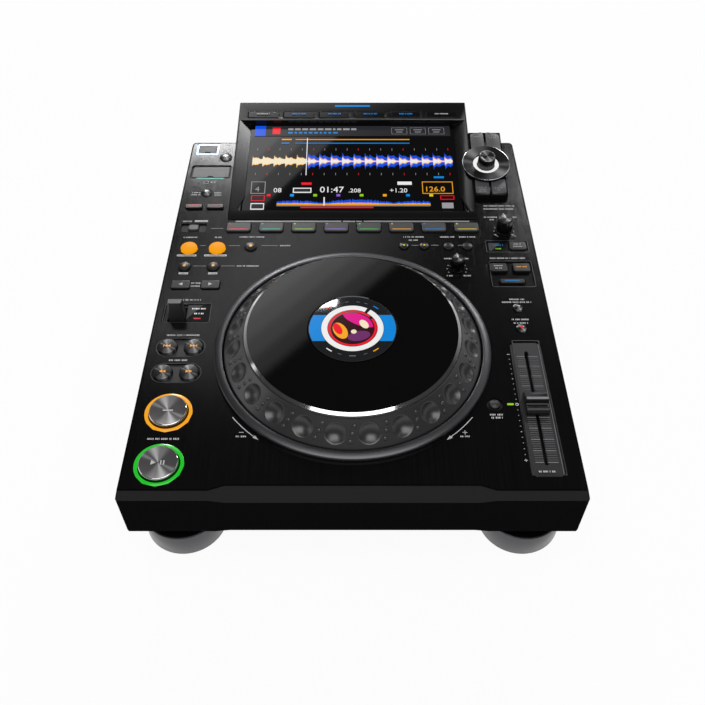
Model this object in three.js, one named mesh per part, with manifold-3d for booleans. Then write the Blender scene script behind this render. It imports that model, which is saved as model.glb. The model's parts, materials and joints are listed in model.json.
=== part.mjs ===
// A tabletop media player for disc jockeys: a shallow case on four round feet, with a jog wheel, a tilted
// touch display, a tempo fader, knobs and keys. Millimetres, +X right, +Y to the rear, +Z up. The origin
// is on the table under the middle of the player.
import * as THREE from 'three';
import { mergeVertices } from 'three/addons/utils/BufferGeometryUtils.js';
import Module from 'manifold-3d';

const wasm = await Module();
wasm.setup();

// Gaps between pieces, and how far a cut runs past what it cuts.
const gap = { seat: 0.3, run: 0.5, ring: 1, overrun: 1 };

// Layout of the top face, measured from its front edge to the rear.
const layout = {
  frontMargin: 23.3,
  padZone: 49.3,
  displayRun: 156,
  displayOverhang: 32,
  column: 54.8,
};

const foot = {
  radius: 32,
  height: 26,
  edge: 1.2,
  neckRadius: 20,
  neckHeight: 6,
  sideMargin: 1.5,
  endMargin: 4,
};

const shell = {
  height: 60,
  wall: 4,
  frontWall: 7,
  floor: 3,
  skirtHeight: 13,
  skirtInset: 12,
  bevelReach: 5,
  bevelDrop: 5,
  sideBevel: 1.3,
  notchReach: 4,
  notchDrop: 2.5,
  notchLift: 1.7,
  notchHalf: 89,
  notchSlant: 11,
  rimLand: 0.8,
  frontCorner: 1.5,
  rearCorner: 4,
  windowSide: 14,
  windowBase: 3,
  windowHead: 6,
  standoffRadius: 4,
  standoffHeight: 14,
};

const panel = { thickness: 3 };

const rearPanel = { thickness: 2, setback: 1 };

const jog = {
  ringRadius: 109.7,
  ringWidth: 6.9,
  ringHeight: 5,
  ringFlange: 4,
  ringSkirt: 6,
  ringEdge: 1.2,
  lipHeight: 4.5,
  lipDepth: 1,
  slopeWidth: 16.3,
  slopeHeight: 14.7,
  bandStep: 0.9,
  bandHeight: 1,
  web: 4,
  rimWall: 3.3,
  well: 3.4,
  hubRadius: 20.5,
  hubWall: 4.5,
  hubDepth: 6,
  dimpleRadius: 8,
  dimpleDepth: 3,
  plateThickness: 2,
  plateBevel: 1.4,
  displayRadius: 34.6,
  displayProud: 0.3,
  pedestalRadius: 26,
  pedestalFoot: 40,
  pedestalFootHeight: 4,
};

const display = {
  rise: 25,
  frontStep: 1,
  ringReach: 5.8,
  rearFace: 10,
  frontLip: 9.5,
  barStart: 131.6,
  wallWidth: 13.2,
  wallTop: 2,
  sink: 6,
  frameLip: 2,
  glassThickness: 4,
  keyDepth: 8.6,
  keyMargin: 7.2,
  keySpace: 5.3,
  keyCorner: 0.8,
  keyPlace: 139.3,
  barSkin: 2.5,
  chamberHeight: 5,
  chamberDepth: 14,
};

const selector = {
  gapToDisplay: 0.5,
  width: 31.5,
  start: 30.3,
  end: 115,
  drop: 1.5,
  across: 13.6,
  along: 68.2,
  dishRadius: 22.9,
  dishBore: 12.7,
  dishThickness: 2,
  dishRise: 1.2,
  dishLip: 0.5,
  bossWall: 3.5,
  wellDepth: 3,
  boreRadius: 4.4,
  shaftRadius: 3.9,
  shaftCollar: 6,
  collarHeight: 1.2,
  shaftDepth: 7.2,
  shaftReach: 9,
  knobRadius: 8.3,
  knobHeight: 14.5,
  fluteRadius: 1.2,
  keyWell: 4,
  keyWellDepth: 15,
  keyWellWidth: 29.6,
  rearKeys: 101.2,
  frontKeys: 38.4,
  keyPitch: 15.6,
  bendDrop: 1.6,
};

const fader = {
  plateWidth: 24.2,
  plateLength: 127.3,
  plateThickness: 1.6,
  plateSink: 0.8,
  corner: 3,
  slotWidth: 3.2,
  slotMargin: 2,
  troughWidth: 11,
  troughDepth: 10,
  troughWall: 1.5,
  travel: 50,
  capWidth: 17.6,
  capDepth: 16,
  capHeight: 8,
  capValley: 3,
  capLip: 5.4,
  capRidge: 3,
  capBand: 3,
  capFall: 4,
  stemWidth: 2,
  stemDepth: 4,
};

const lever = {
  width: 14.6,
  topWidth: 11.2,
  baseDepth: 12,
  topDepth: 5.3,
  height: 16,
  pivotDepth: 6,
  slotDepth: 18.6,
  pinRadius: 1.5,
  earWall: 3,
};

const door = { thickness: 1.4, rearGap: 0.6, notch: 4, sink: 0.3 };

const key = {
  cornerRadius: 1,
  flange: 1.5,
  flangeThickness: 1.2,
  edge: 0.5,
  bridgeWidth: 4,
  bridgeHeight: 2,
  bridgeDrop: 3,
  powerProud: 2.6,
};

const padCount = 8;
const displayKeyCount = 6;
const dimpleCount = 24;
const fluteCount = 12;

const pocketDepth = 1.2;

const board = {
  depth: 150,
  thickness: 1.6,
  supplyGap: 7,
  socketWidth: 97,
  socketDepth: 52,
  rearGap: 4,
  usb: { width: 16, depth: 9, slot: { width: 12.6, depth: 5.2, height: 12 } },
  card: { width: 28, depth: 8, slot: { width: 24.6, depth: 3, height: 14 } },
  socketLength: 16,
  socketWall: 1.6,
};

const supply = {
  width: 100,
  depth: 90,
  height: 42,
  inletWidth: 28,
  inletHeight: 22,
  inletWall: 2,
  inletDepth: 14,
  inletMargin: 3,
};

// Sizes that follow from the ones above.
const caseHalf = jog.ringRadius + layout.column;
const frontReach = layout.frontMargin + jog.ringRadius * 2 + layout.padZone;
const panelDepth = frontReach + layout.displayRun - layout.displayOverhang;
const overallDepth = shell.bevelReach + frontReach + layout.displayRun;
const frontFace = -overallDepth / 2;
const frontEdge = frontFace + shell.bevelReach;
const rearFace = frontEdge + panelDepth;
const jogY = frontEdge + layout.frontMargin + jog.ringRadius;
const displayY = frontEdge + frontReach;

const level = {};
level.base = foot.height + foot.neckHeight;
level.skirt = level.base + shell.skirtHeight;
level.top = level.base + shell.height;
level.panelUnder = level.top - panel.thickness;
level.ledge = level.panelUnder - gap.seat;
level.floor = level.base + shell.floor;
level.board = level.floor + shell.standoffHeight + gap.seat;

const wheelRadius = jog.ringRadius - jog.ringWidth - gap.ring;
const slopeInner = wheelRadius - jog.slopeWidth;
const bandRadius = slopeInner - jog.bandStep;
const wheelTop = level.top + jog.lipHeight + jog.slopeHeight + jog.bandHeight;
const wellFloor = wheelTop - jog.well;
const wellRadius = jog.displayRadius + gap.ring * 2;
const pedestalTop = wellFloor + gap.seat;
const hubBottom = level.top - jog.hubDepth;
const displayDiscTop = wheelTop + gap.seat + jog.plateThickness + jog.displayProud;

const tilt = Math.atan2(display.rise, layout.displayRun);
const slopeLength = Math.hypot(display.rise, layout.displayRun);
const displayHoleShare = 0.4;
const displayHalf = jog.ringRadius + display.ringReach;
const glassHalf = displayHalf - display.wallWidth + display.frameLip;
const displayKeyPitch = (displayHalf - display.keyMargin) * 2 / displayKeyCount;
const displayKeyXs = Array.from(
  { length: displayKeyCount },
  (unused, i) => (i - (displayKeyCount - 1) / 2) * displayKeyPitch,
);
const displayKeyCap = {
  width: displayKeyPitch - display.keySpace,
  depth: display.keyDepth,
  corner: display.keyCorner,
};
const knobBore = selector.knobRadius + gap.ring;
const bossRadius = knobBore + selector.bossWall;
const slotLength = fader.travel * 2 + fader.stemDepth + fader.slotMargin * 2;
const troughOutline = {
  width: fader.troughWidth,
  depth: slotLength + fader.troughWall * 2,
  corner: fader.troughWall,
};

// Places of the controls as shares: across the column from the jog ring to the side of the case, and
// along the top face from its front edge to the rear.
const leftShares = {
  usb_lid: [0.677, 0.97],
  usb_stop: [0.3175, 0.9344],
  sd_door: [0.54, 0.878],
  time_mode: [0.5474, 0.797],
  quantize_slip: [0.535, 0.745],
  call_delete: [0.655, 0.6733],
  loop_in: [0.6606, 0.604],
  loop_out: [0.2026, 0.604],
  reloop: [-0.3412, 0.6091],
  beat_loop: [0.449, 0.5464],
  beat_jump: [0.447, 0.4911],
  direction: [0.5055, 0.4113],
  direction_lever: [0.6387, 0.4065],
  track_search: [0.5, 0.32],
  search: [0.5, 0.256],
  cue: [0.502, 0.1635],
  play: [0.502, 0.0522],
};
const rightShares = {
  vinyl_speed_knob: [0.5182, 0.6623],
  jog_mode_frame: [0.518, 0.613],
  jog_mode: [0.6934, 0.6111],
  sync_frame: [0.513, 0.525],
  sync_master: [0.5055, 0.5428],
  key_sync: [0.5055, 0.5022],
  tempo_range: [0.508, 0.3971],
  fader: [0.5146, 0.1814],
  tempo_reset: [-0.0511, 0.1813],
  jog_adjust_knob: [-0.3394, 0.5409],
  delete_memory: [-0.2783, 0.61],
  loop_call: [-0.9954, 0.6111],
};
const padRowShare = 0.7525;
const padPitchShare = 0.2714;

// Caps of the keys, the frames round them and the distances between the keys that share a carrier.
const round = (diameter) => ({ width: diameter, depth: diameter, corner: diameter / 2 });
const box = (width, depth, corner = key.cornerRadius) => ({ width, depth, corner });
const caps = {
  usb_stop: round(12),
  time_mode: round(10),
  quantize_slip: box(15.6, 5.7),
  call_delete: box(9, 7),
  loop_in: round(14.6),
  loop_out: round(14.6),
  reloop: round(11),
  beat_loop: round(11),
  beat_jump: box(16, 9.8),
  track_search: round(15),
  search: round(15),
  cue: round(28.8),
  play: round(28.8),
  pad: box(22.2, 12.2, 1.5),
  jog_mode: box(15.6, 10.9, 1.5),
  sync_master: box(14.8, 10.3),
  key_sync: box(21, 5.3),
  tempo_range: round(8.3),
  tempo_reset: round(9.4),
  delete_memory: round(9.4),
  loop_call: round(8.6),
  selector_key: box(13.4, 13, 2.5),
  power: box(14, 10),
  usb_lid: box(17.6, 12.6, 0.5),
  sd_door: box(35.4, 16.8, 0.8),
};
const capHeight = { low: 1.2, small: 2, dome: 3, tall: 4, pad: 1.8, frame: 1.6 };
const pitch = {
  quantize_slip: 19.8,
  beat_loop: 25.2,
  beat_jump: 25.4,
  track_search: 20.6,
  search: 20.6,
  sync_master: 20.1,
  tempo_range: 23.6,
  delete_memory: 16.9,
  loop_call: 18.1,
};
// A frame round a cap, wider than the cap by side and deeper than it by end.
const around = (cap, side, end, corner) => ({ width: cap.width + side, depth: cap.depth + end, corner });
const frames = {
  usb_lid: around(caps.usb_lid, 5, 6.7, 1),
  sd_door: around(caps.sd_door, 3.8, 4.9, 2),
  call_delete: box(22.9, 11.5, 1),
  direction: box(39.4, 21.3, 1),
  track_search: box(37.7, 18.2, 9.1),
  search: box(37.5, 18.2, 9.1),
  cue: round(36.6),
  play: round(36.6),
  jog_mode_frame: box(38.1, 13.2, 1),
  sync_frame: box(41, 33, 2),
  tempo_reset: round(12.4),
};

const knob = {
  skirtRadius: 9.6,
  skirtHeight: 1.4,
  waistRadius: 7,
  topRadius: 6.2,
  height: 15,
  shaftRadius: 3,
  shaftDepth: 9,
  smallShare: 0.86,
};

const smooth = { small: 12, key: 12, large: 20, knob: 16, ring: 36, ball: 9 };

const finishes = {
  brushed: { color: 0x2b2c2e, roughness: 0.42, metalness: 0.8 },
  case: { color: 0x1b1c1d, roughness: 0.55, metalness: 0.2 },
  gloss: { color: 0x060607, roughness: 0.08, metalness: 0 },
  glass: { color: 0x04060c, roughness: 0.03, metalness: 0 },
  silver: { color: 0xa9abad, roughness: 0.3, metalness: 0.9 },
  wheel: { color: 0x2a2a2a, roughness: 0.6, metalness: 0 },
  spun: { color: 0x6d6a6a, roughness: 0.25, metalness: 0.9 },
  keyBlack: { color: 0x262728, roughness: 0.4, metalness: 0 },
  keyGrey: { color: 0x6a6a6a, roughness: 0.5, metalness: 0 },
  orange: { color: 0xffa010, roughness: 0.35, metalness: 0 },
  red: { color: 0xe04040, roughness: 0.4, metalness: 0 },
  footMetal: { color: 0x707072, roughness: 0.35, metalness: 0.9 },
  plateGrey: { color: 0x2c2c2c, roughness: 0.6, metalness: 0 },
  boardGreen: { color: 0x1d4a2e, roughness: 0.7, metalness: 0 },
  steel: { color: 0x8c8f92, roughness: 0.4, metalness: 0.9 },
};

// Geometry helpers. Every shape becomes a closed solid whose shared corners are merged.
function weld(geometry) {
  const bare = geometry.clone();
  bare.deleteAttribute('normal');
  bare.deleteAttribute('uv');
  const merged = mergeVertices(bare);
  const index = Array.from(merged.index.array);
  const kept = [];
  for (let i = 0; i < index.length; i += 3) {
    const [a, b, c] = index.slice(i, i + 3);
    if (a !== b && b !== c && c !== a) kept.push(a, b, c);
  }
  merged.setIndex(kept);
  return merged;
}

function solidOf(geometry) {
  const welded = weld(geometry);
  return new wasm.Manifold(new wasm.Mesh({
    numProp: 3,
    vertProperties: welded.attributes.position.array,
    triVerts: Uint32Array.from(welded.index.array),
  }));
}

function geometryOf(solid) {
  const made = solid.getMesh();
  const geometry = new THREE.BufferGeometry();
  geometry.setAttribute('position', new THREE.BufferAttribute(Float32Array.from(made.vertProperties), 3));
  geometry.setIndex(new THREE.BufferAttribute(Uint32Array.from(made.triVerts), 1));
  return geometry;
}

const join = (...parts) => geometryOf(parts.map(solidOf).reduce((whole, part) => whole.add(part)));
const cut = (body, ...tools) => geometryOf(
  tools.map(solidOf).reduce((rest, tool) => rest.subtract(tool), solidOf(body)),
);

// The ring of points round an outline at one height, anticlockwise, moved in by inset. A point that
// would fall on its neighbour, as at the poles of a circle, is left out of every ring alike.
function outlineRing(outline, z, inset = 0, segments = 4, at = [0, 0]) {
  const perCorner = Math.max(1, Math.round(segments / 4));
  const straightX = outline.width / 2 - outline.corner;
  const straightY = outline.depth / 2 - outline.corner;
  const corner = Math.max(outline.corner - inset, key.edge / 2);
  const halfX = outline.width / 2 - inset - corner;
  const halfY = outline.depth / 2 - inset - corner;
  const signs = [[1, 1], [-1, 1], [-1, -1], [1, -1]];
  const ring = [];
  signs.forEach(([signX, signY], quarter) => {
    const straightNext = quarter % 2 === 0 ? straightX : straightY;
    const last = straightNext < key.edge / 2 ? perCorner - 1 : perCorner;
    for (let step = 0; step <= last; step += 1) {
      const angle = (quarter + step / perCorner) * Math.PI / 2;
      ring.push([
        at[0] + signX * halfX + corner * Math.cos(angle),
        at[1] + signY * halfY + corner * Math.sin(angle),
        z,
      ]);
    }
  });
  return ring;
}

// A solid through rings of points with the same count, from the bottom ring to the top one.
function loft(rings) {
  const count = rings[0].length;
  const positions = rings.flat(2);
  const index = [];
  for (let r = 0; r + 1 < rings.length; r += 1) {
    for (let i = 0; i < count; i += 1) {
      const next = (i + 1) % count;
      const low = r * count;
      const high = low + count;
      index.push(low + i, low + next, high + next, low + i, high + next, high + i);
    }
  }
  const flat = (ring) => ring.map(([x, y]) => new THREE.Vector2(x, y));
  const lastRing = (rings.length - 1) * count;
  for (const [a, b, c] of THREE.ShapeUtils.triangulateShape(flat(rings[0]), [])) index.push(c, b, a);
  for (const [a, b, c] of THREE.ShapeUtils.triangulateShape(flat(rings.at(-1)), [])) {
    index.push(lastRing + a, lastRing + b, lastRing + c);
  }
  const geometry = new THREE.BufferGeometry();
  geometry.setAttribute('position', new THREE.Float32BufferAttribute(positions, 3));
  geometry.setIndex(index);
  return geometry;
}

// A solid with an outline for its plan, through [height, inset] steps from the bottom to the top.
function stack(outline, steps, segments = 4, at = [0, 0]) {
  return loft(steps.map(([z, inset]) => outlineRing(outline, z, inset, segments, at)));
}

const prism = (outline, low, high, segments = 4, at = [0, 0]) => (
  stack(outline, [[low, 0], [high, 0]], segments, at)
);

const grown = (outline, by) => ({
  width: outline.width + by * 2,
  depth: outline.depth + by * 2,
  corner: outline.corner + by,
});

function block(low, high) {
  const size = high.map((value, i) => value - low[i]);
  const middle = high.map((value, i) => (value + low[i]) / 2);
  return new THREE.BoxGeometry(...size).translate(...middle);
}

// A turned solid about Z. The profile is a list of [radius, height] points, upwards on the outside.
function turned(profile, segments = smooth.key) {
  const points = profile.map(([radius, z]) => new THREE.Vector2(radius, z));
  return new THREE.LatheGeometry(points, segments).rotateX(Math.PI / 2);
}

const turnedRing = (profile, segments = smooth.ring) => turned([...profile, profile[0]], segments);

const rod = (radius, low, high, segments = smooth.small) => (
  turned([[0, low], [radius, low], [radius, high], [0, high]], segments)
);

// A solid with a side view for its section, in Y and Z, from low X to high X.
function sideExtrusion(points, lowX, highX) {
  const shape = new THREE.Shape(points.map(([y, z]) => new THREE.Vector2(y, z)));
  const geometry = new THREE.ExtrudeGeometry(shape, { depth: highX - lowX, bevelEnabled: false });
  const turn = new THREE.Matrix4().makeBasis(
    new THREE.Vector3(0, 1, 0),
    new THREE.Vector3(0, 0, 1),
    new THREE.Vector3(1, 0, 0),
  );
  return geometry.applyMatrix4(turn).translate(lowX, 0, 0);
}

function piece(name, geometry, finish, place = [0, 0, 0]) {
  const mesh = new THREE.Mesh(geometry, new THREE.MeshStandardMaterial(finishes[finish]));
  mesh.name = name;
  mesh.position.set(...place);
  return mesh;
}

// Places on the top face.
const inColumn = (side, [across, along]) => [
  side * (jog.ringRadius + across * layout.column),
  frontEdge + along * panelDepth,
];
const places = {};
for (const [name, shares] of Object.entries(leftShares)) places[name] = inColumn(-1, shares);
for (const [name, shares] of Object.entries(rightShares)) places[name] = inColumn(1, shares);

const padPlaces = Array.from({ length: padCount }, (unused, i) => [
  (i - (padCount - 1) / 2) * padPitchShare * jog.ringRadius,
  frontEdge + layout.frontMargin + jog.ringRadius * 2 + padRowShare * layout.padZone,
]);

// Two key places at one carrier: side by side, or one behind the other.
const pairOffsets = (distance, along) => (
  [-distance / 2, distance / 2].map((step) => (along ? [0, step] : [step, 0]))
);

const moved = (outline, offset, at) => [outline, [at[0] + offset[0], at[1] + offset[1]]];

// The case: rings in plan from the base up to the rim, and the room inside.
function caseRing(z, { front, midFront, side, rear, midZ = z }) {
  const c = shell.frontCorner;
  const r = shell.rearCorner;
  const outer = shell.notchHalf + shell.notchSlant;
  const ring = [
    [-side, front + c, z],
    [-side + c, front, z],
    [-outer, front, z],
    [-shell.notchHalf, midFront, midZ],
    [shell.notchHalf, midFront, midZ],
    [outer, front, z],
    [side - c, front, z],
    [side, front + c, z],
  ];
  for (const [sign, start] of [[1, 0], [-1, 1]]) {
    for (let step = 0; step <= 3; step += 1) {
      const angle = (start + step / 3) * Math.PI / 2;
      ring.push([sign * (side - r) + r * Math.cos(angle), rear - r + r * Math.sin(angle), z]);
    }
  }
  return ring;
}

function rimRing(z, inset) {
  return caseRing(z, {
    front: frontEdge + inset,
    midFront: frontEdge + shell.notchReach + inset,
    side: caseHalf - shell.sideBevel - inset,
    rear: rearFace - shell.sideBevel - inset,
  });
}

function lowerCase() {
  const full = { front: frontFace, midFront: frontFace, side: caseHalf, rear: rearFace };
  const base = {
    front: frontFace + shell.skirtInset,
    midFront: frontFace + shell.skirtInset,
    side: caseHalf - shell.skirtInset,
    rear: rearFace - shell.skirtInset,
  };
  const outside = loft([
    caseRing(level.base, base),
    caseRing(level.skirt, { ...full, midZ: level.skirt + shell.notchLift }),
    caseRing(level.top - shell.bevelDrop, { ...full, midZ: level.top - shell.bevelDrop - shell.notchDrop }),
    rimRing(level.top, 0),
  ]);
  const roomRing = (z, inset) => caseRing(z, {
    front: frontFace + shell.frontWall + inset,
    midFront: frontFace + shell.frontWall + shell.notchReach + inset,
    side: caseHalf - shell.wall - inset,
    rear: rearFace - shell.wall - inset,
  });
  const floorInset = shell.skirtInset * (1 - shell.floor / shell.skirtHeight);
  const inside = loft([
    roomRing(level.floor, floorInset),
    roomRing(level.skirt, 0),
    roomRing(level.ledge + gap.overrun, 0),
  ]);
  const recess = loft([
    rimRing(level.ledge, shell.rimLand),
    rimRing(level.top + gap.overrun, shell.rimLand),
  ]);
  const window = block(
    [-caseHalf + shell.windowSide, rearFace - shell.wall * 2, level.skirt + shell.windowBase],
    [caseHalf - shell.windowSide, rearFace + gap.overrun, level.ledge - shell.windowHead],
  );
  const standoffTop = level.floor + shell.standoffHeight;
  const standoff = (x, y) => (
    rod(shell.standoffRadius, level.floor - gap.overrun, standoffTop).translate(x, y, 0)
  );
  const [boardX, boardY] = boardMiddle;
  const reachX = boardWidth / 2 - shell.standoffRadius * 2;
  const reachY = board.depth / 2 - shell.standoffRadius * 2;
  const signs = [[-1, -1], [1, -1], [-1, 1], [1, 1]];
  const boardPosts = signs.map(([sx, sy]) => standoff(boardX + sx * reachX, boardY + sy * reachY));
  return join(cut(outside, inside, recess, window), ...boardPosts);
}

const boardWidth = (caseHalf - shell.skirtInset - shell.wall) * 2 - supply.width - board.supplyGap;
const boardMiddle = [
  -caseHalf + shell.skirtInset + shell.wall + boardWidth / 2,
  rearFace - shell.wall - board.rearGap - board.depth / 2,
];
const supplyMiddle = [
  caseHalf - shell.skirtInset - shell.wall - supply.width / 2,
  rearFace - shell.wall - shell.skirtInset - supply.depth / 2,
];

// Openings of the top panel: a row has an outline, a place and a depth, or no depth for a hole.
function panelOpenings() {
  const openings = [];
  const hole = (outline, at) => openings.push({ outline: grown(outline, gap.run), at });
  const pocket = (outline, at, depth = pocketDepth) => openings.push({ outline, at, depth });
  const singles = ['usb_stop', 'time_mode', 'call_delete', 'loop_in', 'loop_out', 'reloop', 'cue', 'play',
    'jog_mode', 'key_sync', 'tempo_reset'];
  for (const name of singles) hole(caps[name], places[name]);
  for (const [name, distance] of Object.entries(pitch)) {
    for (const offset of pairOffsets(distance, name === 'tempo_range')) {
      hole(...moved(caps[name], offset, places[name]));
    }
  }
  for (const at of padPlaces) hole(caps.pad, at);
  for (const [name, outline] of Object.entries(frames)) pocket(outline, places[name]);
  for (const name of ['usb_lid', 'sd_door']) {
    const outline = { ...caps[name], depth: caps[name].depth + door.rearGap - gap.seat };
    const [, at] = moved(outline, [0, (door.rearGap - gap.seat) / 2], places[name]);
    openings.push({ outline: grown(outline, gap.seat), at });
  }
  openings.push({ outline: box(lever.width + gap.run * 2, lever.slotDepth), at: places.direction_lever });
  openings.push({ outline: grown(round(knob.shaftRadius * 2), gap.seat), at: places.vinyl_speed_knob });
  openings.push({ outline: grown(round(knob.shaftRadius * 2), gap.seat), at: places.jog_adjust_knob });
  const plate = box(fader.plateWidth, fader.plateLength, fader.corner);
  pocket(grown(plate, gap.seat), places.fader, fader.plateSink + fader.plateThickness + gap.seat);
  hole(troughOutline, places.fader);
  return openings;
}

function topPanel() {
  const inset = shell.rimLand + gap.seat;
  const plate = loft([rimRing(level.panelUnder, inset), rimRing(level.top, inset)]);
  const tools = panelOpenings().map(({ outline, at, depth }) => {
    const low = depth ? level.top - depth : level.panelUnder - gap.overrun;
    const isRound = outline.corner * 2 > outline.depth - gap.seat;
    return prism(outline, low, level.top + gap.overrun, isRound ? smooth.key : 4, at);
  });
  const jogHoleRadius = jog.ringRadius - jog.ringFlange + gap.seat;
  const jogHole = rod(jogHoleRadius, level.panelUnder - gap.overrun, level.top + gap.overrun, smooth.ring)
    .translate(0, jogY, 0);
  const displayHole = block(
    [-glassHalf - gap.ring, displayY + display.frontLip - gap.seat, level.panelUnder - gap.overrun],
    [glassHalf + gap.ring, displayY + slopeLength * displayHoleShare, level.top + gap.overrun],
  );
  const earLow = leverPivot - lever.pinRadius * 2;
  const earInner = lever.width / 2 + gap.run;
  const [leverX, leverY] = places.direction_lever;
  const ears = [leverX - earInner - lever.earWall, leverX + earInner].map((earX) => block(
    [earX, leverY - lever.earWall, earLow],
    [earX + lever.earWall, leverY + lever.earWall, level.panelUnder + gap.seat],
  ));
  const pinBore = leverPin(lever.pinRadius + gap.seat, earInner + lever.earWall + gap.overrun)
    .translate(leverX, leverY, 0);
  return cut(join(cut(plate, ...tools, jogHole, displayHole), ...ears), pinBore);
}

const leverPivot = level.top - lever.pivotDepth;

const leverPin = (radius, reach) => (
  rod(radius, -reach, reach).rotateY(Math.PI / 2).translate(0, 0, leverPivot)
);

// The rear panel carries the openings for the sockets, from left to right as seen from the front.
const sockets = {
  network: { width: 13, height: 10 },
  device: { width: 11, height: 10 },
};
const socketShares = { network: 0.28, device: 0.42, control: 0.56, left: 0.68, right: 0.78 };
const jackRadius = 4.2;

const boardSocketX = (share) => boardMiddle[0] + (share * 2 - 1) * boardWidth / 2;
const rearWindow = {
  low: level.skirt + shell.windowBase + gap.seat,
  high: level.ledge - shell.windowHead - gap.seat,
  half: caseHalf - shell.windowSide - gap.seat,
};
const socketLow = level.board + board.thickness / 2;
const inletLow = rearWindow.low + supply.inletMargin;
const powerPlace = [
  caps.power.width - rearWindow.half,
  rearFace - rearPanel.setback,
  (rearWindow.low + rearWindow.high) / 2,
];

function rearPanelPlate() {
  const outer = rearFace - rearPanel.setback;
  const inner = outer - rearPanel.thickness;
  const plate = block([-rearWindow.half, inner, rearWindow.low], [rearWindow.half, outer, rearWindow.high]);
  const opening = (x, low, width, height) => block(
    [x - width / 2 - gap.run, inner - gap.overrun, low - gap.run],
    [x + width / 2 + gap.run, outer + gap.overrun, low + height + gap.run],
  );
  const boxes = Object.entries(sockets).map(([name, socket]) => opening(
    boardSocketX(socketShares[name]),
    socketLow,
    socket.width + board.socketWall * 2,
    socket.height + board.socketWall * 3,
  ));
  const jacks = ['control', 'left', 'right'].map((name) => (
    jackRod(jackRadius + gap.run, inner - gap.overrun, outer + gap.overrun, name)
  ));
  const inlet = opening(supplyMiddle[0], inletLow, supply.inletWidth, supply.inletHeight);
  const powerLow = powerPlace[2] - caps.power.depth / 2;
  const power = opening(powerPlace[0], powerLow, caps.power.width, caps.power.depth);
  return cut(plate, ...boxes, ...jacks, inlet, power);
}

function jackRod(radius, frontY, rearY, name) {
  const z = socketLow + sockets.device.height / 2 + board.socketWall * 2;
  return rod(radius, frontY, rearY).rotateX(-Math.PI / 2).translate(boardSocketX(socketShares[name]), 0, z);
}

// The corner of the board plate that carries the sockets, grown by a margin on its inner sides.
function socketCorner(margin) {
  const [x, y] = boardMiddle;
  const left = x - boardWidth / 2;
  const back = y + board.depth / 2;
  return block(
    [left - margin, back - board.socketDepth - margin, level.board],
    [left + board.socketWidth + margin, back, level.board + board.thickness],
  );
}

// The main board holds the round jacks at the rear.
function mainBoard() {
  const [x, y] = boardMiddle;
  const plate = block(
    [x - boardWidth / 2, y - board.depth / 2, level.board],
    [x + boardWidth / 2, y + board.depth / 2, level.board + board.thickness],
  );
  const rear = rearFace - rearPanel.setback - rearPanel.thickness;
  const jacks = ['control', 'left', 'right'].flatMap((name) => {
    const at = boardSocketX(socketShares[name]);
    const body = block(
      [at - jackRadius, rear - board.socketLength, socketLow],
      [at + jackRadius, rear - gap.seat, socketLow + sockets.device.height + board.socketWall * 2],
    );
    return [body, jackRod(jackRadius, rear - board.socketLength / 2, rear + rearPanel.thickness, name)];
  });
  return cut(join(plate, ...jacks), socketCorner(gap.seat));
}

// The board behind the left corner: the two rear sockets, and under the lids the stick and card readers.
function socketBoard() {
  const rear = rearFace - rearPanel.setback - rearPanel.thickness;
  const bodies = [];
  const rooms = [];
  for (const [name, socket] of Object.entries(sockets)) {
    const at = boardSocketX(socketShares[name]);
    const half = socket.width / 2;
    const wall = board.socketWall;
    bodies.push(block(
      [at - half - wall, rear - board.socketLength - wall, socketLow],
      [at + half + wall, rear + rearPanel.thickness, socketLow + socket.height + wall * 3],
    ));
    rooms.push(block(
      [at - half, rear - board.socketLength, socketLow + wall * 2],
      [at + half, rear + rearPanel.thickness + gap.overrun, socketLow + wall * 2 + socket.height],
    ));
  }
  for (const [at, { width, depth, slot }] of [[places.usb_lid, board.usb], [places.sd_door, board.card]]) {
    const [cx, cy] = at;
    const head = level.panelUnder - gap.seat;
    bodies.push(block([cx - width / 2, cy - depth / 2, socketLow], [cx + width / 2, cy + depth / 2, head]));
    rooms.push(block(
      [cx - slot.width / 2, cy - slot.depth / 2, head - slot.height],
      [cx + slot.width / 2, cy + slot.depth / 2, head + gap.overrun],
    ));
  }
  return cut(join(socketCorner(0), ...bodies), ...rooms);
}

function powerSupply() {
  const [x, y] = supplyMiddle;
  const low = level.floor + gap.seat;
  const rear = rearFace - rearPanel.setback;
  const can = block(
    [x - supply.width / 2, y - supply.depth / 2, low],
    [x + supply.width / 2, y + supply.depth / 2, low + supply.height],
  );
  const half = supply.inletWidth / 2;
  const wall = supply.inletWall;
  const inlet = block([x - half, y, inletLow], [x + half, rear, inletLow + supply.inletHeight]);
  const room = block(
    [x - half + wall, rear - supply.inletDepth, inletLow + wall],
    [x + half - wall, rear + gap.overrun, inletLow + supply.inletHeight - wall],
  );
  return cut(join(can, inlet), room);
}

function footTurned() {
  return turned([
    [0, 0],
    [foot.radius - foot.edge, 0],
    [foot.radius, foot.edge],
    [foot.radius, foot.height - foot.edge / 2],
    [foot.radius - foot.edge / 2, foot.height],
    [foot.radius - foot.edge * 2, foot.height],
    [foot.neckRadius, foot.height - foot.edge],
    [foot.neckRadius, level.base - gap.seat],
    [0, level.base - gap.seat],
  ], smooth.large);
}

// The jog: a fixed trim ring, a fixed pedestal and display, and the turning wheel with its plate.
function trimRing() {
  const outer = jog.ringRadius;
  const inner = outer - jog.ringWidth;
  const base = level.top + gap.seat;
  const top = level.top + jog.ringHeight;
  return turnedRing([
    [inner, level.top - jog.ringSkirt],
    [outer - jog.ringFlange, level.top - jog.ringSkirt],
    [outer - jog.ringFlange, base],
    [outer, base],
    [outer, top - jog.ringEdge],
    [outer - jog.ringEdge, top],
    [inner + jog.ringEdge / 2, top],
    [inner, top - jog.ringEdge / 2],
  ]);
}

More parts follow.
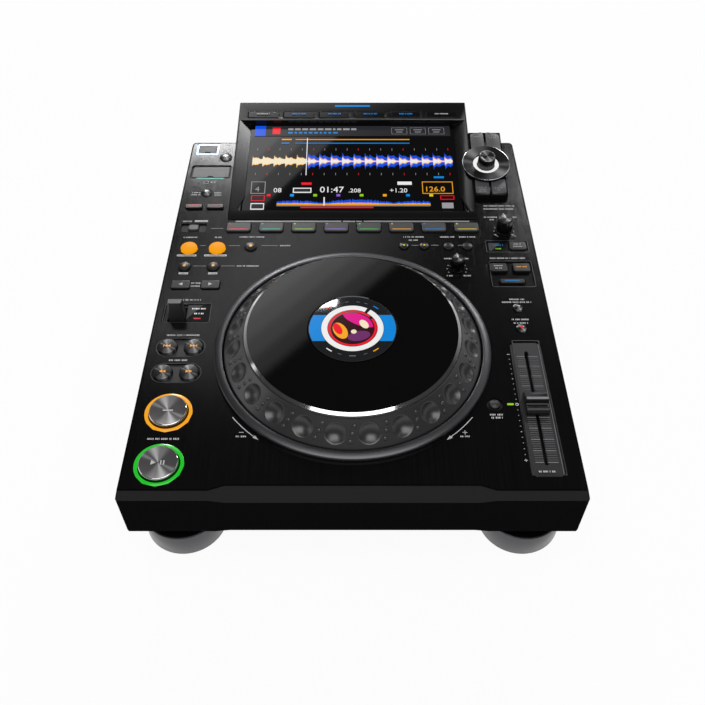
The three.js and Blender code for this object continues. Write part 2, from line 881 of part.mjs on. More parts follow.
function jogWheel() {
  const slopeTop = level.top + jog.lipHeight + jog.slopeHeight;
  const innerRim = wheelRadius - jog.rimWall;
  const lipBottom = level.top - jog.lipDepth;
  const underWeb = wellFloor - jog.web;
  const ring = turnedRing([
    [jog.hubRadius, hubBottom],
    [jog.hubRadius + jog.hubWall, hubBottom],
    [jog.hubRadius + jog.hubWall, underWeb],
    [bandRadius - jog.rimWall, underWeb],
    [innerRim, level.top + jog.lipHeight - jog.rimWall],
    [innerRim, lipBottom],
    [wheelRadius, lipBottom],
    [wheelRadius, level.top + jog.lipHeight],
    [slopeInner, slopeTop],
    [bandRadius, slopeTop],
    [bandRadius, wheelTop],
    [wellRadius, wheelTop],
    [wellRadius, wellFloor],
    [jog.hubRadius, wellFloor],
  ]);
  const slant = Math.atan2(jog.slopeHeight, jog.slopeWidth);
  const ballRadius = (jog.dimpleRadius ** 2 + jog.dimpleDepth ** 2) / (jog.dimpleDepth * 2);
  const lift = ballRadius - jog.dimpleDepth;
  const middleRadius = wheelRadius - jog.slopeWidth / 2 + lift * Math.sin(slant);
  const middleZ = level.top + jog.lipHeight + jog.slopeHeight / 2 + lift * Math.cos(slant);
  const balls = Array.from({ length: dimpleCount }, (unused, i) => {
    const ball = new THREE.SphereGeometry(ballRadius, smooth.ball, smooth.ball).rotateX(Math.PI / 2);
    const turn = (i + 1 / 2) * Math.PI * 2 / dimpleCount;
    return ball.rotateY(slant).translate(middleRadius, 0, middleZ).rotateZ(turn);
  });
  return cut(ring, ...balls);
}

function jogPlate() {
  const low = wheelTop + gap.seat;
  const high = low + jog.plateThickness;
  return turnedRing([
    [jog.displayRadius + gap.run, low],
    [bandRadius, low],
    [bandRadius, low + jog.plateBevel / 2],
    [bandRadius - jog.plateBevel, high],
    [jog.displayRadius + gap.run, high],
  ]);
}

// The display stands still on a post, and the wheel's hub turns around the post.
function jogDisplay() {
  const low = pedestalTop + gap.seat;
  return turned([
    [0, level.floor + gap.seat],
    [jog.pedestalFoot, level.floor + gap.seat],
    [jog.pedestalFoot, level.floor + jog.pedestalFootHeight],
    [jog.pedestalRadius, level.floor + jog.pedestalFootHeight * 2],
    [jog.pedestalRadius, hubBottom - gap.seat],
    [jog.hubRadius - gap.run, hubBottom - gap.seat],
    [jog.hubRadius - gap.run, low],
    [jog.displayRadius - gap.run, low],
    [jog.displayRadius, low + gap.run],
    [jog.displayRadius, displayDiscTop - gap.run],
    [jog.displayRadius - gap.run, displayDiscTop],
    [0, displayDiscTop],
  ], smooth.ring);
}

// Keys. A single key has a flange just under the panel; keys in pairs share a rocking carrier.
function singleKey(outline, height, segments) {
  const under = level.panelUnder - gap.seat;
  return stack(outline, [
    [under - key.flangeThickness, -key.flange],
    [under, -key.flange],
    [under, 0],
    [level.top + height - key.edge, 0],
    [level.top + height, key.edge],
  ], segments);
}

function carrierKeys(outline, height, offsets, segments) {
  const bridgeTop = level.panelUnder - key.bridgeDrop;
  const bridgeLow = bridgeTop - key.bridgeHeight;
  const keys = offsets.map((offset) => stack(outline, [
    [bridgeLow, key.edge],
    [level.top + height - key.edge, 0],
    [level.top + height, key.edge],
  ], segments, offset));
  const [[x0, y0], [x1, y1]] = offsets;
  const half = key.bridgeWidth / 2;
  const across = x0 === x1 ? [half, 0] : [0, half];
  const bridge = block(
    [x0 - across[0], y0 - across[1], bridgeLow + key.edge / 2],
    [x1 + across[0], y1 + across[1], bridgeTop],
  );
  return join(...keys, bridge);
}

function panelKeys() {
  const group = new THREE.Group();
  const single = (name, node, finish, height, segments = smooth.key) => {
    group.add(piece(node, singleKey(caps[name], height, segments), finish, [...places[name], 0]));
  };
  single('usb_stop', 'usb_stop_key', 'keyBlack', capHeight.small, smooth.small);
  single('time_mode', 'time_mode_key', 'keyBlack', capHeight.small, smooth.small);
  single('call_delete', 'call_delete_key', 'keyBlack', capHeight.low, 4);
  single('loop_in', 'loop_in_key', 'orange', capHeight.dome);
  single('loop_out', 'loop_out_key', 'orange', capHeight.dome);
  single('reloop', 'reloop_key', 'keyBlack', capHeight.small, smooth.small);
  single('cue', 'cue_key', 'spun', capHeight.tall, smooth.large);
  single('play', 'play_pause_key', 'spun', capHeight.tall, smooth.large);
  single('jog_mode', 'jog_mode_key', 'keyBlack', capHeight.frame, 4);
  single('key_sync', 'key_sync_key', 'keyBlack', capHeight.low, 4);
  single('tempo_reset', 'tempo_reset_key', 'keyBlack', capHeight.small, smooth.small);
  padPlaces.forEach((at, i) => {
    group.add(piece(`hot_cue_key_${i + 1}`, singleKey(caps.pad, capHeight.pad, 4), 'keyBlack', [...at, 0]));
  });
  const pair = (name, node, finish, height, segments = smooth.small) => {
    const offsets = pairOffsets(pitch[name], name === 'tempo_range');
    const keys = carrierKeys(caps[name], height, offsets, segments);
    group.add(piece(node, keys, finish, [...places[name], 0]));
  };
  pair('quantize_slip', 'quantize_slip_keys', 'red', capHeight.small, 4);
  pair('beat_loop', 'beat_loop_keys', 'keyBlack', capHeight.small);
  pair('beat_jump', 'beat_jump_keys', 'keyBlack', capHeight.frame, 4);
  pair('track_search', 'track_search_keys', 'spun', capHeight.small);
  pair('search', 'search_keys', 'spun', capHeight.small);
  pair('sync_master', 'sync_master_keys', 'keyBlack', capHeight.frame, 4);
  pair('tempo_range', 'tempo_range_keys', 'keyBlack', capHeight.small);
  pair('delete_memory', 'delete_memory_keys', 'keyBlack', capHeight.small);
  pair('loop_call', 'loop_call_keys', 'keyBlack', capHeight.small);
  return group;
}

// The lever rocks on a pin in two ears below the panel, and its paddle narrows upwards.
function directionLever() {
  const base = box(lever.width, lever.baseDepth);
  const taper = [(lever.width - lever.topWidth) / 2, (lever.baseDepth - lever.topDepth) / 2];
  const top = box(base.width - taper[0] * 2, base.depth - taper[1] * 2);
  const low = level.top - lever.pivotDepth * 2;
  const paddle = loft([
    outlineRing(base, low, key.edge * 2),
    outlineRing(base, level.top, key.edge),
    outlineRing(top, level.top + lever.height - key.edge, 0),
    outlineRing(top, level.top + lever.height, key.edge),
  ]);
  return join(paddle, leverPin(lever.pinRadius, lever.width / 2 + gap.run + lever.earWall));
}

function faderPlate() {
  const plateTop = level.top - fader.plateSink;
  const plateLow = plateTop - fader.plateThickness;
  const plate = prism(box(fader.plateWidth, fader.plateLength, fader.corner), plateLow, plateTop);
  const body = prism(troughOutline, plateTop - fader.troughDepth, plateLow + gap.seat);
  const slot = box(fader.slotWidth, slotLength, fader.slotWidth / 2);
  const room = prism(slot, plateTop - fader.troughDepth + fader.troughWall, plateTop + gap.overrun, 8);
  return cut(join(plate, body), room);
}

function faderCap() {
  const low = level.top - fader.plateSink + gap.seat;
  const half = fader.capDepth / 2;
  const top = level.top + fader.capHeight;
  const lip = level.top + fader.capLip;
  const bandEdge = -half + gap.ring + fader.capBand;
  const cap = sideExtrusion([
    [-half, low],
    [half, low],
    [half, top - gap.ring],
    [half - gap.ring, top],
    [half - fader.capRidge, top - gap.ring],
    [half - fader.capRidge - fader.capFall, lip - fader.capValley],
    [bandEdge + fader.capFall / 2, lip - fader.capValley / 2],
    [bandEdge, lip],
    [-half + gap.ring, lip],
    [-half, lip - gap.ring],
  ], -fader.capWidth / 2, fader.capWidth / 2);
  const stemLow = level.top - fader.plateSink - fader.troughDepth + fader.troughWall + gap.run;
  const stem = block(
    [-fader.stemWidth / 2, -fader.stemDepth / 2, stemLow],
    [fader.stemWidth / 2, fader.stemDepth / 2, low + gap.run],
  );
  return join(cap, stem);
}

function pointerKnob(share) {
  const low = level.top + gap.seat;
  return turned([
    [0, level.top - knob.shaftDepth],
    [knob.shaftRadius, level.top - knob.shaftDepth],
    [knob.shaftRadius, low],
    [knob.skirtRadius * share, low],
    [knob.skirtRadius * share, low + knob.skirtHeight / 2],
    [knob.waistRadius * share, low + knob.skirtHeight * 2],
    [knob.topRadius * share, level.top + knob.height * share - key.edge],
    [(knob.topRadius - key.edge) * share, level.top + knob.height * share],
    [0, level.top + knob.height * share],
  ], smooth.knob);
}

function lid(name) {
  const plate = prism(caps[name], level.top - door.sink - door.thickness, level.top - door.sink);
  const notch = rod(door.notch, level.panelUnder - gap.overrun, level.top, smooth.key)
    .translate(0, -caps[name].depth / 2 - door.notch / 2, 0);
  return cut(plate, notch);
}

// The display stands in its own frame: Y runs up the slope from the front edge, Z points out of it.
const slopeOrigin = new THREE.Vector3(0, displayY, level.top + display.frontStep);
const slopeMatrix = new THREE.Matrix4().makeRotationX(tilt).setPosition(slopeOrigin);
const toSlope = (geometry) => geometry.applyMatrix4(slopeMatrix.clone().invert());
const slopePoint = (along, out) => {
  const point = new THREE.Vector3(0, along, out).applyMatrix4(slopeMatrix);
  return [point.y, point.z];
};

function displayHousing() {
  const floor = level.top + gap.seat;
  const [rearY, rearZ] = slopePoint(slopeLength, 0);
  const outside = toSlope(sideExtrusion([
    [displayY, floor],
    [rearFace - shell.rearCorner, floor],
    [rearY, rearZ - display.rearFace],
    [rearY, rearZ],
    [displayY, level.top + display.frontStep],
  ], -displayHalf, displayHalf));
  const windowLow = displayHalf - display.wallWidth;
  const windowHigh = displayHalf - display.wallTop;
  const lowSlope = [display.frontLip + display.frameLip, display.barStart - gap.run];
  const highSlope = [display.frontLip, display.barStart];
  const corners = (half, [front, rear], z) => [
    [-half, front, z],
    [half, front, z],
    [half, rear, z],
    [-half, rear, z],
  ];
  const window = loft([
    corners(windowLow, lowSlope, -display.sink),
    corners(windowHigh, highSlope, 0),
    corners(windowHigh, highSlope, gap.overrun),
  ]);
  const seat = block(
    [-glassHalf - gap.seat, display.frontLip + gap.seat, -slopeLength],
    [glassHalf + gap.seat, display.barStart + display.frameLip + gap.seat, -display.sink],
  );
  const keyHole = grown(displayKeyCap, gap.run);
  const slots = displayKeyXs.map((x) => (
    prism(keyHole, -display.barSkin - gap.overrun, gap.overrun, 4, [x, display.keyPlace])
  ));
  const chamberHalf = displayHalf - display.wallTop * 2;
  const chamber = block(
    [-chamberHalf, display.keyPlace - display.chamberDepth / 2, -display.barSkin - display.chamberHeight],
    [chamberHalf, display.keyPlace + display.chamberDepth / 2, -display.barSkin],
  );
  return cut(outside, window, seat, chamber, ...slots);
}

function displayGlass() {
  const high = -display.sink - gap.seat;
  return block(
    [-glassHalf, display.frontLip + gap.seat * 2, high - display.glassThickness],
    [glassHalf, display.barStart + display.frameLip, high],
  );
}

function displayKeyPair() {
  const under = -display.barSkin - gap.ring;
  const low = under - key.bridgeHeight;
  const offsets = pairOffsets(displayKeyPitch, false);
  const keys = offsets.map((offset) => stack(displayKeyCap, [
    [low, 0],
    [key.edge / 2, 0],
    [key.edge, key.edge / 2],
  ], 4, offset));
  const bridge = block(
    [offsets[0][0], -key.bridgeWidth / 2, low + key.edge / 2],
    [offsets[1][0], key.bridgeWidth / 2, under],
  );
  return join(...keys, bridge);
}

function displayGroup() {
  const group = new THREE.Group();
  group.position.copy(slopeOrigin);
  group.rotation.x = tilt;
  group.add(piece('display_housing', displayHousing(), 'gloss'));
  group.add(piece('display_panel', displayGlass(), 'glass'));
  for (let pair = 0; pair < displayKeyCount / 2; pair += 1) {
    const x = (displayKeyXs[pair * 2] + displayKeyXs[pair * 2 + 1]) / 2;
    group.add(piece(`display_keys_${pair + 1}`, displayKeyPair(), 'gloss', [x, display.keyPlace, 0]));
  }
  const selectorX = displayHalf + selector.across;
  const middleX = displayHalf + selector.gapToDisplay + selector.width / 2;
  group.add(piece('selector_housing', selectorHousing(selectorX, middleX), 'gloss'));
  group.add(piece('selector_shaft', selectorShaft(), 'steel', [selectorX, selector.along, 0]));
  group.add(piece('selector_knob', selectorKnob(), 'spun', [selectorX, selector.along, 0]));
  group.add(piece('selector_rear_keys', selectorKeys(1), 'keyGrey', [middleX, selector.rearKeys, 0]));
  group.add(piece('selector_front_keys', selectorKeys(-1), 'keyGrey', [middleX, selector.frontKeys, 0]));
  return group;
}

// The selector stands beside the display on the same slope, and its dish reaches over the display frame.
function selectorHousing(x, middleX) {
  const floor = level.top + gap.seat;
  const [frontY, frontZ] = slopePoint(selector.start, -selector.drop);
  const [rearY, rearZ] = slopePoint(selector.end, -selector.drop);
  const lowX = displayHalf + selector.gapToDisplay;
  const body = toSlope(sideExtrusion([
    [frontY, floor],
    [rearY, floor],
    [rearY, rearZ],
    [frontY, frontZ],
  ], lowX, lowX + selector.width));
  const rise = selector.dishRise;
  const dish = turnedRing([
    [knobBore, -selector.drop - gap.overrun],
    [bossRadius, -selector.drop - gap.overrun],
    [bossRadius, rise / 2],
    [selector.dishRadius, rise],
    [selector.dishRadius, rise + selector.dishThickness],
    [selector.dishRadius - selector.dishLip, rise + selector.dishThickness + selector.dishLip],
    [selector.dishBore, rise + selector.dishThickness - selector.dishLip],
    [selector.dishBore, rise],
    [knobBore, rise],
  ], smooth.large).translate(x, selector.along, 0);
  const well = rod(knobBore, -selector.drop - selector.wellDepth, rise + gap.overrun, smooth.large)
    .translate(x, selector.along, 0);
  const bore = rod(selector.boreRadius, -slopeLength, 0).translate(x, selector.along, 0);
  const keyWells = [selector.rearKeys, selector.frontKeys].map((along) => prism(
    box(selector.keyWellWidth, selector.keyWellDepth, 2),
    -selector.drop - selector.keyWell,
    -selector.drop + gap.overrun,
    4,
    [middleX, along],
  ));
  return cut(join(cut(body, ...keyWells), dish), well, bore);
}

function selectorShaft() {
  const collarLow = -selector.drop - selector.wellDepth + gap.ring + gap.seat;
  return turned([
    [0, -selector.shaftDepth],
    [selector.shaftRadius, -selector.shaftDepth],
    [selector.shaftRadius, collarLow],
    [selector.shaftCollar, collarLow],
    [selector.shaftCollar, collarLow + selector.collarHeight],
    [selector.shaftRadius, collarLow + selector.collarHeight],
    [selector.shaftRadius, selector.shaftReach],
    [0, selector.shaftReach],
  ], smooth.small);
}

function selectorKnob() {
  const collarTop = -selector.drop - selector.wellDepth + gap.ring + gap.seat + selector.collarHeight;
  const low = collarTop + gap.seat;
  const high = low + selector.knobHeight;
  const body = turned([
    [0, selector.shaftReach + gap.seat],
    [selector.shaftRadius + gap.seat, selector.shaftReach + gap.seat],
    [selector.shaftRadius + gap.seat, low],
    [selector.knobRadius, low],
    [selector.knobRadius, high - gap.ring],
    [selector.knobRadius - gap.ring, high],
    [0, high],
  ], smooth.knob);
  const flutes = Array.from({ length: fluteCount }, (unused, i) => (
    rod(selector.fluteRadius, low - gap.overrun, high - gap.ring * 2, smooth.small / 2)
      .translate(selector.knobRadius, 0, 0)
      .rotateZ(i * Math.PI * 2 / fluteCount)
  ));
  return cut(body, ...flutes);
}

// Side is 1 for the pair behind the dish and -1 for the pair in front of it. Their edges bend down to it.
function selectorKeys(side) {
  const low = -selector.drop - selector.keyWell + gap.ring;
  const high = -gap.seat;
  const half = caps.selector_key.depth / 2;
  const offsets = pairOffsets(selector.keyPitch, false);
  const keySteps = [[low, 0], [high - key.edge, 0], [high, key.edge]];
  const keys = offsets.map((offset) => stack(caps.selector_key, keySteps, 8, offset));
  const bridge = block(
    [offsets[0][0], -key.bridgeWidth / 2, low],
    [offsets[1][0], key.bridgeWidth / 2, low + key.bridgeHeight / 2],
  );
  const bend = sideExtrusion([
    [-side * half, high - selector.bendDrop],
    [0, high],
    [0, high + gap.overrun],
    [-side * half, high + gap.overrun],
  ], -selector.width, selector.width);
  return cut(join(...keys, bridge), bend);
}

// The whole player.
const player = new THREE.Group();

const caseGroup = new THREE.Group();
caseGroup.add(piece('lower_case', lowerCase(), 'case'));
caseGroup.add(piece('top_panel', topPanel(), 'brushed'));
caseGroup.add(piece('rear_panel', rearPanelPlate(), 'case'));
caseGroup.add(piece('main_board', mainBoard(), 'boardGreen'));
caseGroup.add(piece('socket_board', socketBoard(), 'boardGreen'));
caseGroup.add(piece('power_supply', powerSupply(), 'steel'));
player.add(caseGroup);

const footEnds = {
  front: frontFace + foot.endMargin + foot.radius,
  rear: rearFace - foot.endMargin - foot.radius,
};
for (const [end, y] of Object.entries(footEnds)) {
  for (const [side, x] of [['left', -1], ['right', 1]]) {
    const footX = x * (caseHalf - foot.sideMargin - foot.radius);
    player.add(piece(`foot_${end}_${side}`, footTurned(), 'footMetal', [footX, y, 0]));
  }
}

const jogGroup = new THREE.Group();
jogGroup.position.set(0, jogY, 0);
jogGroup.add(piece('jog_trim_ring', trimRing(), 'silver'));
jogGroup.add(piece('jog_wheel', jogWheel(), 'wheel'));
jogGroup.add(piece('jog_plate', jogPlate(), 'gloss'));
jogGroup.add(piece('jog_display', jogDisplay(), 'glass'));
player.add(jogGroup);

player.add(displayGroup());
player.add(panelKeys());
player.add(piece('direction_lever', directionLever(), 'keyBlack', [...places.direction_lever, 0]));
player.add(piece('fader_plate', faderPlate(), 'plateGrey', [...places.fader, 0]));
player.add(piece('tempo_fader', faderCap(), 'keyBlack', [...places.fader, 0]));
const knobShares = { vinyl_speed_knob: 1, jog_adjust_knob: knob.smallShare };
for (const [name, share] of Object.entries(knobShares)) {
  player.add(piece(name, pointerKnob(share), 'keyBlack', [...places[name], 0]));
}
player.add(piece('usb_lid', lid('usb_lid'), 'keyGrey', [...places.usb_lid, 0]));
player.add(piece('sd_door', lid('sd_door'), 'keyGrey', [...places.sd_door, 0]));

const powerKey = stack(caps.power, [
  [-key.powerProud - rearPanel.thickness, -key.flange],
  [-gap.seat - rearPanel.thickness, -key.flange],
  [-gap.seat - rearPanel.thickness, 0],
  [key.powerProud - key.edge, 0],
  [key.powerProud, key.edge],
]).rotateX(-Math.PI / 2);
player.add(piece('power_key', powerKey, 'keyBlack', powerPlace));

export default player;
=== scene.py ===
import json
import math
import random

import bpy
from mathutils import Matrix, Vector

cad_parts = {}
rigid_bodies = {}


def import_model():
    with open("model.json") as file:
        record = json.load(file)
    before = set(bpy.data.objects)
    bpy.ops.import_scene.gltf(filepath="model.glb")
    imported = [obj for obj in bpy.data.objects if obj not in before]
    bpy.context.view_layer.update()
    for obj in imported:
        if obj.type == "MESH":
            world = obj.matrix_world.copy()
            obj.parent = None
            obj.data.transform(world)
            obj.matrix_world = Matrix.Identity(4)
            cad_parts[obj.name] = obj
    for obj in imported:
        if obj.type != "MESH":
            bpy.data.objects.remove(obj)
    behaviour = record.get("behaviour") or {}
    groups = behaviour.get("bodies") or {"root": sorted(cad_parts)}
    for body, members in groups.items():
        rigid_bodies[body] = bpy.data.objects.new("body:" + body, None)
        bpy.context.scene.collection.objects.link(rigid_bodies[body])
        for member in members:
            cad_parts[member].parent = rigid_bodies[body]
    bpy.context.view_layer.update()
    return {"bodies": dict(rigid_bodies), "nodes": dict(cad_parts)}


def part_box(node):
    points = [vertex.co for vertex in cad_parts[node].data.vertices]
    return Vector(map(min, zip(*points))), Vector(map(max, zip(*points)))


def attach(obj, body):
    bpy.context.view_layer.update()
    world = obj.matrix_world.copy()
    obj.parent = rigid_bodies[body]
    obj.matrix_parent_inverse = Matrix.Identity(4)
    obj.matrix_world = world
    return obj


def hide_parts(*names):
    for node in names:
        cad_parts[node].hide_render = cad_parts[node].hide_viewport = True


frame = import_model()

# A tabletop media player for disc jockeys. Sizes are in millimetres unless a name says otherwise.
MM = 0.001
PANEL = 92.0  # height of the top panel
PRINT = 0.08  # thickness of printed and lit marks
SUNK, INKED = PANEL - 0.02, PANEL + PRINT  # lower and upper side of a mark on the panel
POCKET = PANEL - 1.19  # floor of the pockets round keys and lids
CARRIER = PANEL - 4.6  # upper side of the carriers that hold key pairs together
JOG = (0.0, -88.5)
SLOPE_FOOT = (0.0, 70.5, 93.0)
TILT = math.atan2(25.0, 156.0)

WHEEL = {
    "outer": 101.8, "base": 91.0, "lip": 96.5, "slope_inner": 85.5, "slope_top": 111.2, "band": 84.6,
    "top": 112.2, "inner": 60.0, "dimples": 24, "dimple": 8.0, "dimple_depth": 3.0, "bump": 1.75,
}
PLATE = {"outer": 84.5, "inner": 34.9, "low": 112.5, "top": 114.5}
DISC = {"radius": 34.6, "top": 114.8}
RING = {"outer": 109.7, "inner": 102.8, "low": 86.0, "top": 97.0}
LCD = {"half": 98.5, "near": 13.7, "far": 129.7, "face": -6.0}
LCD_WIDTH, LCD_DEPTH = LCD["half"] * 2, LCD["far"] - LCD["near"]
SEARCH_PITCH = 10.3  # from the middle of a search pair to each of its keys


# ---------------------------------------------------------------- shapes
def turns(steps):
    return [math.tau * i / steps for i in range(steps)]


def polar(radius, turn, x=0.0, y=0.0):
    return x + radius * math.cos(turn), y + radius * math.sin(turn)


class Form:
    """Faces gathered in millimetres, each with the name of its finish."""

    def __init__(self, finish):
        self.finish = finish
        self.points, self.faces, self.finishes = [], [], []

    def add(self, points, faces, finish=None):
        start = len(self.points)
        self.points += [tuple(p) for p in points]
        self.faces += [[start + i for i in face] for face in faces]
        self.finishes += [finish or self.finish] * len(faces)
        return self

    def repaint(self, first, last, finish):
        self.finishes[first:last] = [finish] * (last - first)

    def lathe(self, profile, centre=(0.0, 0.0), steps=96, finish=None, closed=False):
        """Turns (radius, height) points about an upright axis, from the lowest outwards and up."""
        points, rows = [], []
        for radius, height in profile:
            if radius == 0:
                rows.append([len(points)] * steps)
                points.append((*centre, height))
                continue
            rows.append([len(points) + i for i in range(steps)])
            points += [(*polar(radius, turn, *centre), height) for turn in turns(steps)]
        pairs = list(zip(rows, rows[1:]))
        if closed:
            pairs.append((rows[-1], rows[0]))
        faces = []
        for low, high in pairs:
            for i in range(steps):
                j = (i + 1) % steps
                face = list(dict.fromkeys([low[i], low[j], high[j], high[i]]))
                if len(face) > 2:
                    faces.append(face)
        return self.add(points, faces, finish)

    def bands(self, rings, finish=None, closed=True):
        """Joins rings of equal length, from the lowest to the highest, round again or with flat ends."""
        size, faces = len(rings[0]), []
        for row in range(len(rings) if closed else len(rings) - 1):
            low, high = row * size, (row + 1) % len(rings) * size
            for i in range(size):
                j = (i + 1) % size
                faces.append((low + i, low + j, high + j, high + i))
        if not closed:
            last = (len(rings) - 1) * size
            faces += [tuple(reversed(range(size))), tuple(range(last, last + size))]
        return self.add([p for ring in rings for p in ring], faces, finish)

    def loft(self, rings, finish=None):
        return self.bands(rings, finish, closed=False)

    def slab(self, outline, low, high, finish=None, edge=0.0):
        """A flat plate of that outline, with its top edge eased by edge."""
        rings = [[(x, y, low) for x, y in outline]]
        if edge:
            cx, cy = (sum(p[axis] for p in outline) / len(outline) for axis in (0, 1))
            rings.append([(x, y, high - edge) for x, y in outline])
            for share in (0.3, 1.0):
                inset = edge * (1 - math.cos(share * math.pi / 2))
                lift = high - edge * (1 - math.sin(share * math.pi / 2))
                rings.append([(*shrunk(x, y, cx, cy, inset), lift) for x, y in outline])
        else:
            rings.append([(x, y, high) for x, y in outline])
        return self.loft(rings, finish)

    def block(self, x0, x1, y0, y1, z0, z1, finish=None):
        return self.slab([(x0, y0), (x1, y0), (x1, y1), (x0, y1)], z0, z1, finish)

    def bar(self, x, y, width, depth, low, high, finish=None):
        return self.block(x - width / 2, x + width / 2, y - depth / 2, y + depth / 2, low, high, finish)

    def graph(self, tops, bottoms, low, high, finish=None):
        """A closed plate between two rows of (x, y) points of equal length."""
        rim = [*bottoms, *reversed(tops)]
        size = len(rim)
        faces = [(i, (i + 1) % size, size + (i + 1) % size, size + i) for i in range(size)]
        for i in range(len(tops) - 1):
            far = size - 1 - i
            faces.append((i, far, far - 1, i + 1))
            faces.append((size + i, size + i + 1, size + far - 1, size + far))
        return self.add([(x, y, z) for z in (low, high) for x, y in rim], faces, finish)

    def sector(self, inner, outer, start, end, low, high, finish=None, centre=(0.0, 0.0), steps=40):
        """A ring piece between two angles in degrees, counter-clockwise from +X."""
        angles = [math.radians(start + (end - start) * i / steps) for i in range(steps + 1)]
        rows = [[polar(radius, angle, *centre) for angle in angles] for radius in (inner, outer)]
        return self.graph(*rows, low, high, finish)

    def surround(self, outline, hole, centre, low, high, finish=None, steps=96):
        """A flat plate of that outline with a hole, seen from the hole's middle."""
        outer, inner = (ring_of(edge, centre, steps) for edge in (outline, hole))
        rows = ((outer, low), (outer, high), (inner, high), (inner, low))
        return self.bands([[(x, y, z) for x, y in row] for row, z in rows], finish)


def shrunk(x, y, cx, cy, inset):
    """A point of a flat outline moved towards its middle by inset along each axis."""
    dx, dy = x - cx, y - cy
    return (
        cx + math.copysign(max(abs(dx) - inset, 0.0), dx),
        cy + math.copysign(max(abs(dy) - inset, 0.0), dy),
    )


def ring_of(outline, centre, steps):
    """An outline seen from a point inside it, as evenly turned steps."""
    points = []
    for i in range(steps):
        dx, dy = polar(1.0, math.tau * (i + 0.5) / steps)
        best = 0.0
        for (x0, y0), (x1, y1) in zip(outline, outline[1:] + outline[:1]):
            ex, ey = x1 - x0, y1 - y0
            cross = dx * ey - dy * ex
            if abs(cross) < 1e-9:
                continue
            reach = ((x0 - centre[0]) * ey - (y0 - centre[1]) * ex) / cross
            share = ((x0 - centre[0]) * dy - (y0 - centre[1]) * dx) / cross
            if reach > 0 and -1e-6 <= share <= 1 + 1e-6:
                best = max(best, reach)
        points.append((centre[0] + dx * best, centre[1] + dy * best))
    return points


def rounded(x, y, width, depth, corner, steps=5):
    """A rectangle with round corners, counter-clockwise."""
    points = []
    for quarter, sx, sy in ((0, 1, 1), (1, -1, 1), (2, -1, -1), (3, 1, -1)):
        middle = x + sx * (width / 2 - corner), y + sy * (depth / 2 - corner)
        points += [polar(corner, math.pi / 2 * (quarter + i / steps), *middle) for i in range(steps + 1)]
    return points


def disc(x, y, radius, steps=32):
    return [polar(radius, turn, x, y) for turn in turns(steps)]


def at(x=0.0, y=0.0, z=0.0):
    return Matrix.Translation(Vector((x, y, z)) * MM)


ON_SLOPE = at(*SLOPE_FOOT) @ Matrix.Rotation(TILT, 4, "X")


def box_of(node, grow=0.0):
    """The middle, width and depth of a CAD node's box."""
    low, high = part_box(node)
    return (
        (low.x + high.x) / 2 / MM, (low.y + high.y) / 2 / MM,
        (high.x - low.x) / MM + grow * 2, (high.y - low.y) / MM + grow * 2,
    )


def centre_of(node):
    return box_of(node)[:2]


def heights_of(node):
    low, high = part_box(node)
    return low.z / MM, high.z / MM


def body_of(node):
    return node if node in frame["bodies"] else "player"


def mesh_of(name, form):
    mesh = bpy.data.meshes.new(name)
    mesh.from_pydata([Vector(p) * MM for p in form.points], [], form.faces)
    return mesh


def make(name, form, body="player", place=None, smooth=35.0, replaces=()):
    """Turns a form into a piece that rides on a body; edges flatter than smooth degrees are shaded over."""
    mesh = mesh_of(name, form)
    used = list(dict.fromkeys(form.finishes))
    for finish in used:
        mesh.materials.append(FINISH[finish])
    mesh.polygons.foreach_set("material_index", [used.index(finish) for finish in form.finishes])
    if smooth:
        mesh.shade_smooth()
        mesh.set_sharp_from_angle(angle=math.radians(smooth))
    mesh.validate()
    settle(name, mesh, body, place, replaces)


def stand_in(node, ending, form, turn=0.0):
    """A finer shape in place of a CAD node, drawn from the middle of its box."""
    place = at(*centre_of(node)) @ Matrix.Rotation(turn, 4, "Z")
    make(f"{node}_{ending}", form, body_of(node), place, replaces=[node])


def shown(name, data):
    """A new object in the scene."""
    thing = bpy.data.objects.new(name, data)
    bpy.context.scene.collection.objects.link(thing)
    return thing


def settle(name, mesh, body, place=None, replaces=()):
    piece = shown(name, mesh)
    if place is not None:
        piece.matrix_world = place
    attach(piece, body)
    if replaces:
        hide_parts(*replaces)


# ---------------------------------------------------------------- finishes
FINISH = {}


def linear(code):
    """A hex colour as linear light."""
    values = [int(code[i:i + 2], 16) / 255 for i in (0, 2, 4)]
    return [v / 12.92 if v <= 0.04045 else ((v + 0.055) / 1.055) ** 2.4 for v in values]


class Graph:
    """The nodes of a material, a world or a group; an input takes a value or another node's output."""

    def __init__(self, owner):
        owner.use_nodes = True
        self.nodes, self.links = owner.node_tree.nodes, owner.node_tree.links

    def put(self, socket, value):
        if isinstance(value, bpy.types.NodeSocket):
            self.links.new(value, socket)
        else:
            socket.default_value = value

    def add(self, kind, inputs, output=0, **settings):
        node = self.nodes.new("ShaderNode" + kind)
        for key, value in settings.items():
            setattr(node, key, value)
        for key, value in inputs.items() if isinstance(inputs, dict) else enumerate(inputs):
            self.put(node.inputs[key], value)
        return node.outputs[output]

    def calc(self, operation, *values):
        return self.add("Math", values, operation=operation)

    def mix(self, factor, first, second):
        return self.add("Mix", {"Factor": factor, "A": first, "B": second}, "Result", data_type="RGBA")


